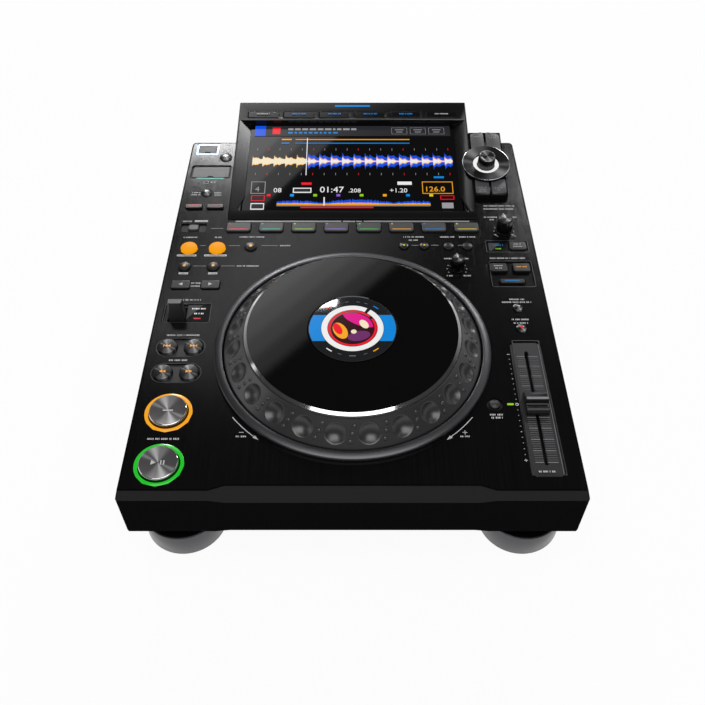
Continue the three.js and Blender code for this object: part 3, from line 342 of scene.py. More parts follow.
def painted_glint_lobes(graph, place, broad, split, peak):
    """Painted highlights of spun metal, as lobes of brighter colour round the middle, or round two middles split
    apart, in degrees.
    """
    calc = graph.calc
    parts = graph.add("SeparateXYZ", [place]).node.outputs
    across = parts["X"]
    if split:
        across = calc("SUBTRACT", across, calc("MULTIPLY", calc("SIGN", across), split * MM))
    angle = calc("MULTIPLY", calc("ARCTAN2", parts["Y"], across), 2.0)
    wave = calc("MULTIPLY", broad, 0.06)
    for middle, sharp, gain in ((peak, 6.0, 1.0), (peak - 34.0, 5.0, 0.3), (peak + 40.0, 28.0, 0.4)):
        swing = calc("COSINE", calc("SUBTRACT", angle, math.radians(middle * 2)))
        wave = calc("ADD", wave, calc("MULTIPLY", calc("POWER", calc("MAXIMUM", swing, 0.0), sharp), gain))
    return wave


def surface(
    name, code, rough=0.4, grain=0.5, bump=0.1, level=0.5, metal=0.0, spread=0.2, stretch=(1, 1, 1), glow=None,
    strength=0.0, turned=False, rough_spread=0.2, painted_glint=None, painted_lit_faces=None,
):
    """A finish whose colour, roughness and relief vary with a noise of that grain in millimetres.

    painted_glint is (bright colour, split in millimetres, peak in degrees): highlights of spun metal painted into
    the colour; painted_lit_faces is (direction, colour): a painted highlight on the faces that look that way.
    """
    material = FINISH[name] = bpy.data.materials.new(name)
    graph = Graph(material)
    shader = graph.nodes["Principled BSDF"].inputs
    local = place = graph.add("TexCoord", (), "Object")
    if turned:
        flat = graph.add("VectorMath", (place, (1, 1, 0)), operation="MULTIPLY")
        place = graph.add("VectorMath", (flat,), "Value", operation="LENGTH")
    mapped = graph.add("Mapping", {"Vector": place, "Scale": stretch})
    broad, narrow = (
        graph.add("TexNoise", {"Scale": 1 / (size * MM), "Detail": detail, "Vector": mapped}, "Fac")
        for size, detail in ((grain, 3.0), (grain * 0.35, 2.0))
    )
    dark, light = ((*[min(c * share, 1) for c in linear(code)], 1) for share in (1 - spread, 1 + spread))
    paint = graph.mix(broad, dark, light)
    # Painted highlights: brighter lobes of colour round the part's middle.
    if painted_glint:
        bright, split, peak = painted_glint
        paint = graph.mix(painted_glint_lobes(graph, local, broad, split, peak), paint, (*linear(bright), 1))
    # A painted highlight: faces that look the given way take a lighter colour.
    if painted_lit_faces:
        way, lit_tone = painted_lit_faces
        normal = graph.add("NewGeometry", (), "Normal")
        turned_to = graph.add("VectorMath", (normal, way), "Value", operation="DOT_PRODUCT")
        step = graph.add("MapRange", {"Value": turned_to, "From Min": 0.93, "From Max": 0.97}, "Result")
        paint = graph.mix(step, paint, (*linear(lit_tone), 1))
    graph.put(shader["Base Color"], paint)
    limits = {"To Min": rough * (1 - rough_spread), "To Max": min(rough * (1 + rough_spread), 1)}
    graph.put(shader["Roughness"], graph.add("MapRange", {"Value": narrow, **limits}, "Result"))
    relief = {"Strength": bump, "Distance": 0.0001, "Height": narrow}
    graph.put(shader["Normal"], graph.add("Bump", relief, "Normal"))
    shader["Metallic"].default_value = metal
    shader["Specular IOR Level"].default_value = level
    if strength:
        shine = linear(glow)
        graph.put(shader["Emission Color"], graph.mix(broad, (*[c * 0.85 for c in shine], 1), (*shine, 1)))
        shader["Emission Strength"].default_value = strength


# Spun metal whose colour carries painted highlights round its middle.
def spun(name, code, bright, peak, split=0.0, rough=0.2, metal=0.3):
    surface(name, code, rough, 0.25, metal=metal, turned=True, painted_glint=(bright, split, peak))


# The numbers are roughness, grain, relief and shine.
# The case's front bevel, whose faces look forward and up, is painted lighter as a highlight.
surface("moulded_case", "151515", 0.6, 0.5, 0.3, 0.0, painted_lit_faces=((0.0, -0.707, 0.707), "2e2e2f"))
surface(
    "brushed_panel", "0c0c0d", 0.155, 0.9, 0.4, 0.17, spread=0.75, stretch=(1.0, 0.012, 1.0), rough_spread=0.45,
)
surface("gloss_bezel", "0f0f10", 0.17, 3.0, 0.02, 0.4)
surface("jog_plate_paint", "050505", 0.03, 0.8, 0.03, spread=0.3)
surface("jog_wheel_plastic", "29292a", 0.33, 0.4, 0.12, 0.9)
surface("knurled_band", "262627", 0.3, 0.6)
surface("polished_edge", "d9d9da", 0.1, 2.0, 0.03, metal=1.0)
surface("satin_ring", "58585a", 0.36, 0.3, 0.08, metal=1.0, turned=True)
surface("foot_metal", "565658", 0.32, 0.4, 0.12, metal=1.0, stretch=(1, 1, 0.05))
surface("foot_pad", "171717", 0.8, 0.6, 0.5)
# The spun finishes have highlights painted into their colour.
spun("spun_metal", "4a4849", "c9c7c8", 112.0, rough=0.3, metal=0.35)
spun("spun_pair_painted_glint", "161516", "9a9a9b", 112.0, 10.3)
spun("spun_dish_painted_glint", "101010", "9c9c9d", 134.0, rough=0.22)
spun("spun_knob_painted_glint", "121212", "b4b4b5", 116.0)
spun("spun_upright_painted_glint", "0c0c0c", "c4c4c5", 34.0, 11.8, rough=0.15)
surface("gloss_black", "0a0a0a", 0.12, 2.0, 0.03)
surface("key_dark", "1b1b1c", 0.3, 0.5, 0.15, 0.35)
surface("key_grey", "545456", bump=0.2)
# The lever's top face, painted lighter as a highlight.
surface("lever_top_painted_highlight", "6e6e70", bump=0.2)
surface("pad_key", "2b2b2c", 0.45, bump=0.2)
surface("key_orange", "5a3000", 0.45, 1.0, level=0.15, glow="ffa600", strength=0.9)
surface("recess_black", "060606", 0.5, 0.8, 0.2, 0.3)
surface("rim_line", "2e2e30", 0.35, 0.6)
surface("lid_grey", "3d3e40", 0.42, bump=0.2)
surface("display_glass", "010102", 0.04, 6.0, 0.01, 1.0)
surface("disc_face", "202123", 0.08, 4.0, 0.01, 0.6)
surface("window_black", "020202", 0.5, 2.0, 0.02, 0.1)
# A lighter grey painted on the windows as a reflection.
surface("window_painted_reflection", "4a4a4c", 0.5, 2.0, 0.02, 0.1)
surface("cue_bar", "808082", bump=0.05)
surface("inner_metal", "8b8d8f", 0.4, 1.2, 0.2, metal=1.0)
surface("board_green", "12401f", 0.5, 1.5, 0.3, spread=0.4)
surface("legend_print", "c8c8ca", 0.5, 0.4, 0.05)
surface("legend_dim", "9a9a9c", 0.5, 0.4, 0.05)
surface("silver_print", "d2d3d6", 0.35, bump=0.05, metal=0.3)
surface("fader_plate", "1c1c1d", 0.42, bump=0.15)
surface("fader_rule", "565658", 0.42)
surface("fader_rule_bright", "858587", 0.42)

# Surfaces that shine with a colour, over a dimmer paint of the same hue.
SHINING = {
    "white": "eeeeee", "grey": "9a9a9c", "ring_white": "f4f4f4", "blue": "0a84d8", "cyan": "149cf0",
    "deep_blue": "0a52e4", "red": "f01428", "orange": "f7a722", "green": "22c02a", "lime": "93cf14",
    "teal": "18b8a0", "purple": "8c5ad0", "yellow": "e8cc1c", "cream": "f3e6c4", "magenta": "e0148a",
    "maroon": "30060f", "plum": "6c2c66", "dim_white": "6c6c6e", "dim_red": "8c2028", "dark": "26272b",
}
for shade, code in SHINING.items():
    paint = "".join(f"{int(int(code[i:i + 2], 16) * 0.3):02x}" for i in (0, 2, 4))
    surface(f"lit_{shade}", paint, 0.15, 1.5, 0.02, spread=0.1, glow=code, strength=1.0)


# ---------------------------------------------------------------- carried CAD nodes
def smooth_group(limit):
    """A modifier group that shades smooth across edges flatter than the limit."""
    group = bpy.data.node_groups.new("smooth_by_angle", "GeometryNodeTree")
    group.interface.new_socket("Geometry", in_out="INPUT", socket_type="NodeSocketGeometry")
    group.interface.new_socket("Geometry", in_out="OUTPUT", socket_type="NodeSocketGeometry")
    nodes, links = group.nodes, group.links
    entry, exit_ = nodes.new("NodeGroupInput"), nodes.new("NodeGroupOutput")
    faces, edges = nodes.new("GeometryNodeSetShadeSmooth"), nodes.new("GeometryNodeSetShadeSmooth")
    faces.domain, edges.domain = "FACE", "EDGE"
    angle = nodes.new("GeometryNodeInputMeshEdgeAngle")
    flat = nodes.new("FunctionNodeCompare")
    flat.operation = "LESS_THAN"
    flat.inputs["B"].default_value = math.radians(limit)
    for source, node, socket in (
        (angle, flat, "A"), (entry, faces, "Geometry"), (faces, edges, "Geometry"), (flat, edges, "Shade Smooth"),
        (edges, exit_, 0),
    ):
        links.new(source.outputs[0], node.inputs[socket])
    return group


SMOOTH = smooth_group(32.0)


def dress(node, finish, bevel, segments=2):
    """Gives a CAD node its finish and eases its edges."""
    piece = frame["nodes"][node]
    piece.data.materials.clear()
    piece.data.materials.append(FINISH[finish])
    weld = piece.modifiers.new("weld", "WELD")
    weld.merge_threshold = 0.00001
    if bevel:
        ease = piece.modifiers.new("ease", "BEVEL")
        ease.width = bevel * MM
        ease.segments = segments
        ease.limit_method = "ANGLE"
        ease.angle_limit = math.radians(35)
        ease.harden_normals = False
        ease.use_clamp_overlap = True
    shade = piece.modifiers.new("shade", "NODES")
    shade.node_group = SMOOTH
    flatten = piece.modifiers.new("flatten", "WEIGHTED_NORMAL")
    flatten.keep_sharp = True
    flatten.weight = 100


dress("top_panel", "brushed_panel", 0.15, 1)
for finish, bevel, *names in (
    ("moulded_case", 0.5, "lower_case", "selector_housing"),
    ("moulded_case", 0.2, "rear_panel"),
    ("board_green", 0, "main_board", "socket_board"),
    ("inner_metal", 0.2, "power_supply"),
    ("gloss_bezel", 0.5, "display_housing"),
    ("display_glass", 0, "display_panel"),
    ("fader_plate", 0.2, "fader_plate"),
    # The shaft's spun finish has painted highlights in its colour.
    ("spun_metal", 0.1, "selector_shaft"),
    ("gloss_black", 0.3, "display_keys_1", "display_keys_2", "display_keys_3"),
    ("pad_key", 0.5, *(f"hot_cue_key_{pad}" for pad in range(1, 9))),
    ("key_grey", 0.25, "call_delete_key"),
    ("key_dark", 0.35, "quantize_slip_keys", "beat_jump_keys", "sync_master_keys", "jog_mode_key", "key_sync_key"),
    ("lid_grey", 0.2, "usb_lid", "sd_door"),
    ("key_dark", 0.4, "power_key"),
    ("pad_key", 0.4, "direction_lever"),
):
    for node in names:
        dress(node, finish, bevel)


# ---------------------------------------------------------------- feet
def foot():
    form = Form("foot_metal").lathe([
        (0, 0.0), (28.6, 0.0), (29.4, 0.5), (29.4, 1.4), (30.6, 1.6), (31.6, 2.2), (32.0, 3.2), (32.0, 24.4),
        (31.7, 25.4), (30.9, 26.0), (21.0, 26.0), (20.0, 27.0), (20.0, 31.6), (0, 31.6),
    ], steps=128)
    for i, face in enumerate(form.faces):
        if not 1.5 <= sum(form.points[p][2] for p in face) / len(face) <= 26.0:
            form.finishes[i] = "foot_pad"
    return form


for end in ("front_left", "front_right", "rear_left", "rear_right"):
    stand_in(f"foot_{end}", "turned", foot())


# ---------------------------------------------------------------- jog
def trim_ring():
    """A fixed satin band, rounded and lower towards its outside."""
    outer, inner, low, top = RING["outer"], RING["inner"], RING["low"], RING["top"]
    crown = (
        (0.0, -0.8), (0.3, -0.25), (0.9, 0.0), (2.4, -0.12), (4.2, -0.45), (5.8, -0.88), (6.5, -1.2), (6.9, -1.7),
    )
    skirt = [(inner, low), (outer - 4.0, low), (outer - 4.0, PANEL + 0.1), (outer, PANEL + 0.1)]
    profile = skirt + [(inner + across, top + drop) for across, drop in reversed(crown)]
    return Form("satin_ring").lathe(profile, steps=256, closed=True)


def jog_wheel():
    """The wheel's rim: a sloping wall with round finger dimples and rows of bumps, and a knurled upper edge."""
    per, rows = 48, 40
    columns = WHEEL["dimples"] * per
    outer, lip, band, top = (WHEEL[key] for key in ("outer", "lip", "band", "top"))
    foot_r, foot_z = outer - 0.6, lip
    run, rise = foot_r - WHEEL["slope_inner"], WHEEL["slope_top"] - foot_z
    length = math.hypot(run, rise)
    normal = (rise / length, run / length)
    middle_r = (foot_r + WHEEL["slope_inner"]) / 2
    pitch = math.tau / WHEEL["dimples"]
    profile = [
        (WHEEL["inner"], 108.0), (WHEEL["inner"], 86.0), (outer - 2.0, 86.0), (outer - 2.0, WHEEL["base"]),
        (outer, WHEEL["base"] + 0.4), (outer, lip - 0.6),
    ]
    lines = [[point] * columns for point in profile]
    for row in range(rows + 1):
        share = row / rows
        line_points = []
        for i in range(columns):
            u = ((i / per) % 1.0 - 0.5) * pitch * middle_r
            reach = math.hypot(u, length * (share - 0.5)) / WHEEL["dimple"]
            depth = -WHEEL["dimple_depth"] * (1 - reach ** 2) if reach < 1 else 0.0
            line_points.append((foot_r - run * share + normal[0] * depth, foot_z + rise * share + normal[1] * depth))
        lines.append(line_points)
    step, tooth = WHEEL["slope_top"] + 0.15, 0.14
    lines.append([(WHEEL["slope_inner"] - 0.1, step)] * columns)
    for radius, height in ((WHEEL["slope_inner"] - 0.15, step + 0.1), (band + 0.3, top - 0.05)):
        lines.append([(radius + (tooth if i % 2 else -tooth), height) for i in range(columns)])
    lines += [[point] * columns for point in ((band, top), (band - 1.0, top), (band - 1.0, 108.0))]
    form = Form("jog_wheel_plastic").bands([
        [(*polar(radius, pitch * i / per), height) for i, (radius, height) in enumerate(line_points)]
        for line_points in lines
    ])
    knurled = len(profile) + rows + 1
    form.repaint(knurled * columns, (knurled + 3) * columns, "knurled_band")
    for i in range(WHEEL["dimples"]):
        for k in (-1, 0, 1):
            along = 0.5 + k * 5.6 / length
            turn = pitch * i + k * 1.6 / middle_r
            radius, height = foot_r - run * along, foot_z + rise * along
            outward = Vector((math.cos(turn), math.sin(turn), 0))
            up = outward * normal[0] + Vector((0, 0, normal[1]))
            centre = outward * radius + Vector((0, 0, height))
            side = Vector((-outward.y, outward.x, 0))
            ahead = up.cross(side)
            rings = []
            for lift, wide in ((-0.4, 1.0), (0.0, 1.0), (0.4, 0.9), (0.7, 0.66), (0.86, 0.34)):
                wide *= WHEEL["bump"]
                rings.append([
                    tuple(centre + up * lift + (side * math.cos(a) + ahead * math.sin(a)) * wide) for a in turns(16)
                ])
            form.loft(rings if side.cross(ahead).dot(up) > 0 else [ring[::-1] for ring in rings])
    return form


def jog_plate():
    """The top plate: gloss paint inside a wide polished edge."""
    outer, inner, low, top, steps = PLATE["outer"], PLATE["inner"], PLATE["low"], PLATE["top"], 256
    form = Form("jog_plate_paint").lathe([
        (inner, low), (outer - 0.3, low), (outer, low + 0.2), (outer, low + 0.5), (outer - 2.3, top),
        (inner + 0.6, top), (inner, top - 0.5),
    ], steps=steps, closed=True)
    form.repaint(steps, 4 * steps, "polished_edge")
    return form


def jog_screen():
    """The display disc: dark glass, side pieces, a position ring and a plain picture in the middle."""
    top, radius, steps = DISC["top"], DISC["radius"], 160
    post = [(0, 35.3), (40.0, 35.3), (40.0, 39.0), (26.0, 43.0), (26.0, 85.7), (20.2, 85.7), (20.2, 109.4)]
    form = Form("recess_black").lathe(post + [
        (radius - 0.5, 109.4), (radius, 109.9), (radius, top - 0.5),
        (radius - 0.15, top - 0.2), (radius - 0.6, top - 0.04), (0, top - 0.04),
    ], steps=steps)
    form.repaint(len(form.faces) - steps, len(form.faces), "disc_face")
    low, high = top - 0.1, top
    heights = [-13.8 + 27.6 * i / 24 for i in range(25)]
    for side in (-1, 1):
        rows = [[(side * math.sqrt(reach ** 2 - y * y), y) for y in heights] for reach in (24.6, 33.7)]
        form.graph(*(rows if side > 0 else rows[::-1]), low, high, "lit_blue")
    form.sector(19.6, 24.2, 61, 414, low, high, "lit_white", steps=120)
    form.sector(17.2, 19.0, 42, 392, low, high, "lit_red", steps=100)
    # The middle picture is a plain pattern of soft shapes inside the ring.
    form.slab(disc(0, 0, 16.5, 72), low, high, "lit_maroon")
    for cx, cy, long, short, lean, shade, lift in (
        (5.0, 9.0, 14.0, 5.6, -30, "magenta", 0.02), (9.0, 4.0, 5.0, 3.0, -60, "cream", 0.04),
        (-9.5, -3.0, 5.2, 9.0, 24, "orange", 0.03), (-11.5, -1.0, 3.0, 6.4, 24, "red", 0.05),
        (5.0, -8.5, 9.0, 5.0, 16, "plum", 0.02), (1.0, -4.0, 2.2, 2.2, 0, "cream", 0.04),
    ):
        lean, outline = math.radians(lean), []
        for t in turns(48):
            a, b = long * math.cos(t), short * math.sin(t)
            x, y = cx + a * math.cos(lean) - b * math.sin(lean), cy + a * math.sin(lean) + b * math.cos(lean)
            over = max(math.hypot(x, y) / 16.2, 1.0)
            outline.append((x / over, y / over))
        form.slab(outline, low, high + lift, f"lit_{shade}")
    for angle, wide, shade in (
        (130, 5, "red"), (112, 3, "dim_white"), (99, 3, "dim_white"), (81, 3, "dim_white"), (68, 3, "dim_white"),
        (50, 5, "blue"), (-52, 5, "orange"), (-70, 3, "dim_white"), (-90, 5, "dim_white"),
        (-110, 3, "dim_white"), (-128, 5, "white"),
    ):
        outer = 29.4 if wide > 3 else 28.9
        form.sector(28.5, outer, angle - wide, angle + wide, low, high, f"lit_{shade}", steps=6)
    return form


jog_at = at(*JOG)
make("jog_trim_ring_turned", trim_ring(), "player", jog_at, 40, ["jog_trim_ring"])
make("jog_wheel_moulded", jog_wheel(), "jog", jog_at, 55, ["jog_wheel"])
make("jog_plate_turned", jog_plate(), "jog", jog_at, 20, ["jog_plate"])
make("jog_display_lit", jog_screen(), place=jog_at, replaces=["jog_display"])


# ---------------------------------------------------------------- round keys and knobs
def key_profile(radius, low, top, dome, edge):
    """A turned cap from its skirt to its top, crowned by dome."""
    profile = [(0, low), (radius - 0.2, low), (radius, low + 0.2), (radius, top - edge - dome)]
    for i in range(1, 5):
        t = math.pi / 2 * i / 4
        profile.append((radius - edge * (1 - math.cos(t)), top - dome - edge * (1 - math.sin(t))))
    inner = radius - edge
    for i in range(1, 9):
        r = inner * (1 - i / 9)
        profile.append((r, top - dome * (r / inner) ** 2))
    return [*profile, (0, top)]


def transport_key(node, glow):
    """A spun metal cap with painted highlights, in a lit ring."""
    low, top = heights_of(node)
    top, steps = top - 1.1, 128
    form = Form("key_dark")
    form.lathe([(0, low), (15.9, low), (15.9, low + 1.2), (14.3, low + 1.2), (14.3, top - 1.0)], steps=steps)
    skirt = len(form.faces)
    form.lathe([
        (14.3, top - 1.0), (14.2, top - 0.5), (13.9, top - 0.15), (13.6, top), (13.3, top - 0.05), (8.0, top - 0.25),
        (4.0, top - 0.32), (0, top - 0.35),
    ], steps=steps, finish="spun_metal")
    form.repaint(skirt, skirt + steps * 3, "polished_edge")
    stand_in(node, "spun", form)
    z0, z1 = PANEL - 1.15, PANEL + 0.4
    rim = [(15.2, z0), (17.7, z0), (17.7, z1 - 0.2), (17.4, z1), (15.5, z1), (15.2, z1 - 0.3)]
    ring = Form(glow).lathe(rim, steps=steps, closed=True)
    make(f"{node}_light_ring", ring, place=at(*centre_of(node)))


def round_key(node, diameter, finish, dome, edge=0.8):
    """A turned cap on a flange that the panel holds down."""
    low, top = heights_of(node)
    reach = box_of(node)[2] / 2
    profile = key_profile(diameter / 2, low + 1.2, top, dome, edge)
    profile[0:2] = [(0, low), (reach, low), (reach, low + 1.2)]
    stand_in(node, "turned", Form(finish).lathe(profile))


def round_pair(node, diameter, pitch, finish, dome, edge=0.6, turn=0.0):
    """Two turned caps on their carrier under the panel."""
    low, top = heights_of(node)
    form, skirt = Form(finish), PANEL - 4.4
    for side in (-1, 1):
        form.lathe(key_profile(diameter / 2, skirt, top, dome, edge), (side * pitch / 2, 0), 64)
    form.bar(0, 0, pitch, 4.0, low, CARRIER)
    stand_in(node, "turned", form, turn=turn)


# Keys with spun finishes have highlights painted into their colour.
transport_key("cue_key", "lit_orange")
transport_key("play_pause_key", "lit_green")
round_key("usb_stop_key", 12.0, "spun_knob_painted_glint", 0.5)
round_key("time_mode_key", 10.0, "spun_knob_painted_glint", 0.5)
round_key("loop_in_key", 14.6, "key_orange", 0.7)
round_key("loop_out_key", 14.6, "key_orange", 0.7)
round_key("reloop_key", 11.0, "key_dark", 0.5, 0.7)
round_key("tempo_reset_key", 8.2, "pad_key", 1.0)
round_pair("track_search_keys", 14.8, SEARCH_PITCH * 2, "spun_pair_painted_glint", 0.2)
round_pair("search_keys", 14.8, SEARCH_PITCH * 2, "spun_pair_painted_glint", 0.2)
round_pair("beat_loop_keys", 11.0, 25.2, "key_dark", 0.5, 0.7)
round_pair("loop_call_keys", 8.4, 18.1, "key_dark", 0.5)
round_pair("delete_memory_keys", 9.2, 16.9, "key_dark", 0.5)
round_pair("tempo_range_keys", 8.3, 23.6, "spun_upright_painted_glint", 0.6, turn=math.pi / 2)


def fluted(height, radius, depth, flutes, steps, sharp=1, scale=1.0):
    """A ring at that height whose edge waves in by depth."""
    waves = [(turn, depth * (0.5 + 0.5 * math.cos(flutes * turn)) ** sharp) for turn in turns(steps)]
    return [(*polar((radius - wave) * scale, turn), height) for turn, wave in waves]


def knob(node, turn):
    """A polished knob: a skirt, a fluted grip, a spun top with painted highlights and a silver pointer."""
    low, top = heights_of(node)
    radius, base = box_of(node)[2] / 2 * 0.8, PANEL + 0.3
    form = Form("gloss_black").lathe([
        (0, low), (radius * 0.4, low), (radius * 0.4, base), (radius - 0.3, base), (radius, base + 0.3),
        (radius, base + 1.0), (radius - 0.2, base + 1.3), (radius * 0.95, base + 1.5), (radius * 0.94, base + 4.0),
    ])
    grip = ((base + 4.0, 1.0), (top - 1.2, 0.95), (top - 0.5, 0.9), (top - 0.05, 0.8))
    form.loft([fluted(height, radius * 0.94, 0.35, 12, 96, 2, scale) for height, scale in grip])
    cap = radius * 0.68
    form.lathe([(cap, top - 0.06), (cap, top - 0.01), (0, top - 0.01)], steps=64, finish="spun_knob_painted_glint")
    form.bar(0, radius * 0.38, 1.3, radius * 0.6, top - 0.05, top + 0.0001, "silver_print")
    form.block(-0.6, 0.6, radius * 0.84, radius * 0.93, base + 5.0, top - 0.3, "silver_print")
    stand_in(node, "turned", form, turn=math.radians(turn))


knob("vinyl_speed_knob", 14.0)
knob("jog_adjust_knob", 8.0)


# ---------------------------------------------------------------- selector
def selector_knob():
    """A fluted barrel with a bright upper edge and a hollow spun top, both with painted highlights."""
    top = 14.5
    form = Form("gloss_black").loft([fluted(height, radius, depth, 24, TURNS) for height, radius, depth in (
        (0.0, 8.0, 0.0), (0.4, 8.3, 0.4), (6.0, 8.3, 0.55), (top - 1.2, 8.1, 0.5), (top - 0.4, 7.7, 0.2),
        (top - 0.1, 7.2, 0.0), (top, 6.6, 0.0),
    )])
    form.faces.pop()
    form.finishes.pop()
    for i, face in enumerate(form.faces):
        if len(face) == 4 and all(form.points[p][2] > top - 0.5 for p in face):
            form.finishes[i] = "spun_metal"
    hollow = [(6.6, top), (6.3, top - 0.15), (4.0, top - 0.2), (0, top - 0.25)]
    return form.lathe(hollow, steps=TURNS, finish="spun_knob_painted_glint")


def selector_keys(node, rows, labels):
    """A pair of wide keys on the slope, one rocker; rows are (along, inset, low, top) sections."""
    keys, middle = Form("key_grey"), 131.75
    for x0, x1 in ((117.2, 130.4), (132.5, 146.3)):
        rings = []
        for along, inset, low, top in rows:
            a, b = x0 + inset, x1 - inset
            rings.append([(cx, along, cz) for cx, cz in (
                (a + 0.5, top), (b - 0.5, top), (b - 0.12, top - 0.15), (b, top - 0.5), (b, low), (a, low),
                (a, top - 0.5), (a + 0.12, top - 0.15),
            )])
        keys.loft(rings)
    first, last = rows[0][0], rows[-1][0]
    inner, outer, arc = (first, last, 3.0) if last > 100 else (last, first, 1.6)
    bent = []
    for px, py, pz in keys.points:
        share = max((py - inner) / (outer - inner) - 0.35, 0.0) / 0.65
        bent.append((px, py - math.copysign(arc * share * ((px - middle) / 14.5) ** 2, outer - inner), pz))
    keys.points = bent
    keys.bar(middle, (first + last) / 2, 12.0, 4.0, -4.5, -3.5)
    for x, along, width in labels:
        word(x, along, width, "legend_dim", 1.0, keys, -0.02, PRINT)
    make(f"{node}_moulded", keys, body_of(node), ON_SLOPE, replaces=[node])


SELECTOR = at(129.1, 137.84, 103.79) @ Matrix.Rotation(TILT, 4, "X")
TURNS = 144  # faces round the selector's dish, ring and knob
# The dish's spun finish has highlights painted into its colour.
dish = Form("spun_dish_painted_glint").lathe([
    (12.9, 2.74), (22.3, 3.73), (22.88, 3.2), (22.95, 3.5), (22.8, 3.8), (22.4, 3.95), (21.8, 3.92), (13.5, 3.0),
    (13.1, 2.95), (12.9, 2.85),
], steps=TURNS, closed=True)
dish.repaint(2 * TURNS, 5 * TURNS, "polished_edge")
make("selector_dish", dish, place=SELECTOR)
rim = [(8.75, -0.6), (12.6, -0.6), (12.6, 0.5), (12.2, 0.7), (9.2, 0.7), (8.75, 0.4)]
light_ring = Form("lit_ring_white").lathe(rim, steps=TURNS, closed=True)
make("selector_light_ring", light_ring, place=SELECTOR @ at(z=1.0))
make(
    "selector_knob_turned", selector_knob(), "selector_knob", SELECTOR @ at(z=-1.8), replaces=["selector_knob"],
)


# ---------------------------------------------------------------- tempo slider
def fader_cap():
    """A slider cap: a tall ridge in the middle with a valley and a rounded lip on each side, on its stem."""
    low, top = heights_of("tempo_fader")
    base = PANEL + 0.1
    half = [
        (10.2, 0.0), (10.2, 0.8), (9.8, 2.6), (8.9, 3.9), (7.4, 4.7), (6.0, 4.9), (5.2, 4.6), (4.6, 3.9),
        (3.1, 3.7), (2.3, 4.2), (1.9, top - base - 0.6), (1.3, top - base),
    ]
    section = half + [(-v, h) for v, h in reversed(half)]
    form = Form("key_dark").loft([
        [(across, v - math.copysign(min(inset, abs(v) / 4), v), base + max(h - inset, 0)) for v, h in section]
        for across, inset in ((-8.6, 0.35), (-8.25, 0.0), (8.25, 0.0), (8.6, 0.35))
    ])
    form.bar(0, 0, 1.5, 4.0, low, base)
    form.bar(0, 0, 16.4, 2.2, top - 0.1, top + 0.0001, "fader_rule_bright")
    stand_in("tempo_fader", "cap", form)


fader_cap()


# ---------------------------------------------------------------- screen
def on_screen(u, v):
    """A place on the screen from its rear left corner, as shares of its width and depth."""
    return -LCD["half"] + u * LCD_WIDTH, LCD["far"] - v * LCD_DEPTH


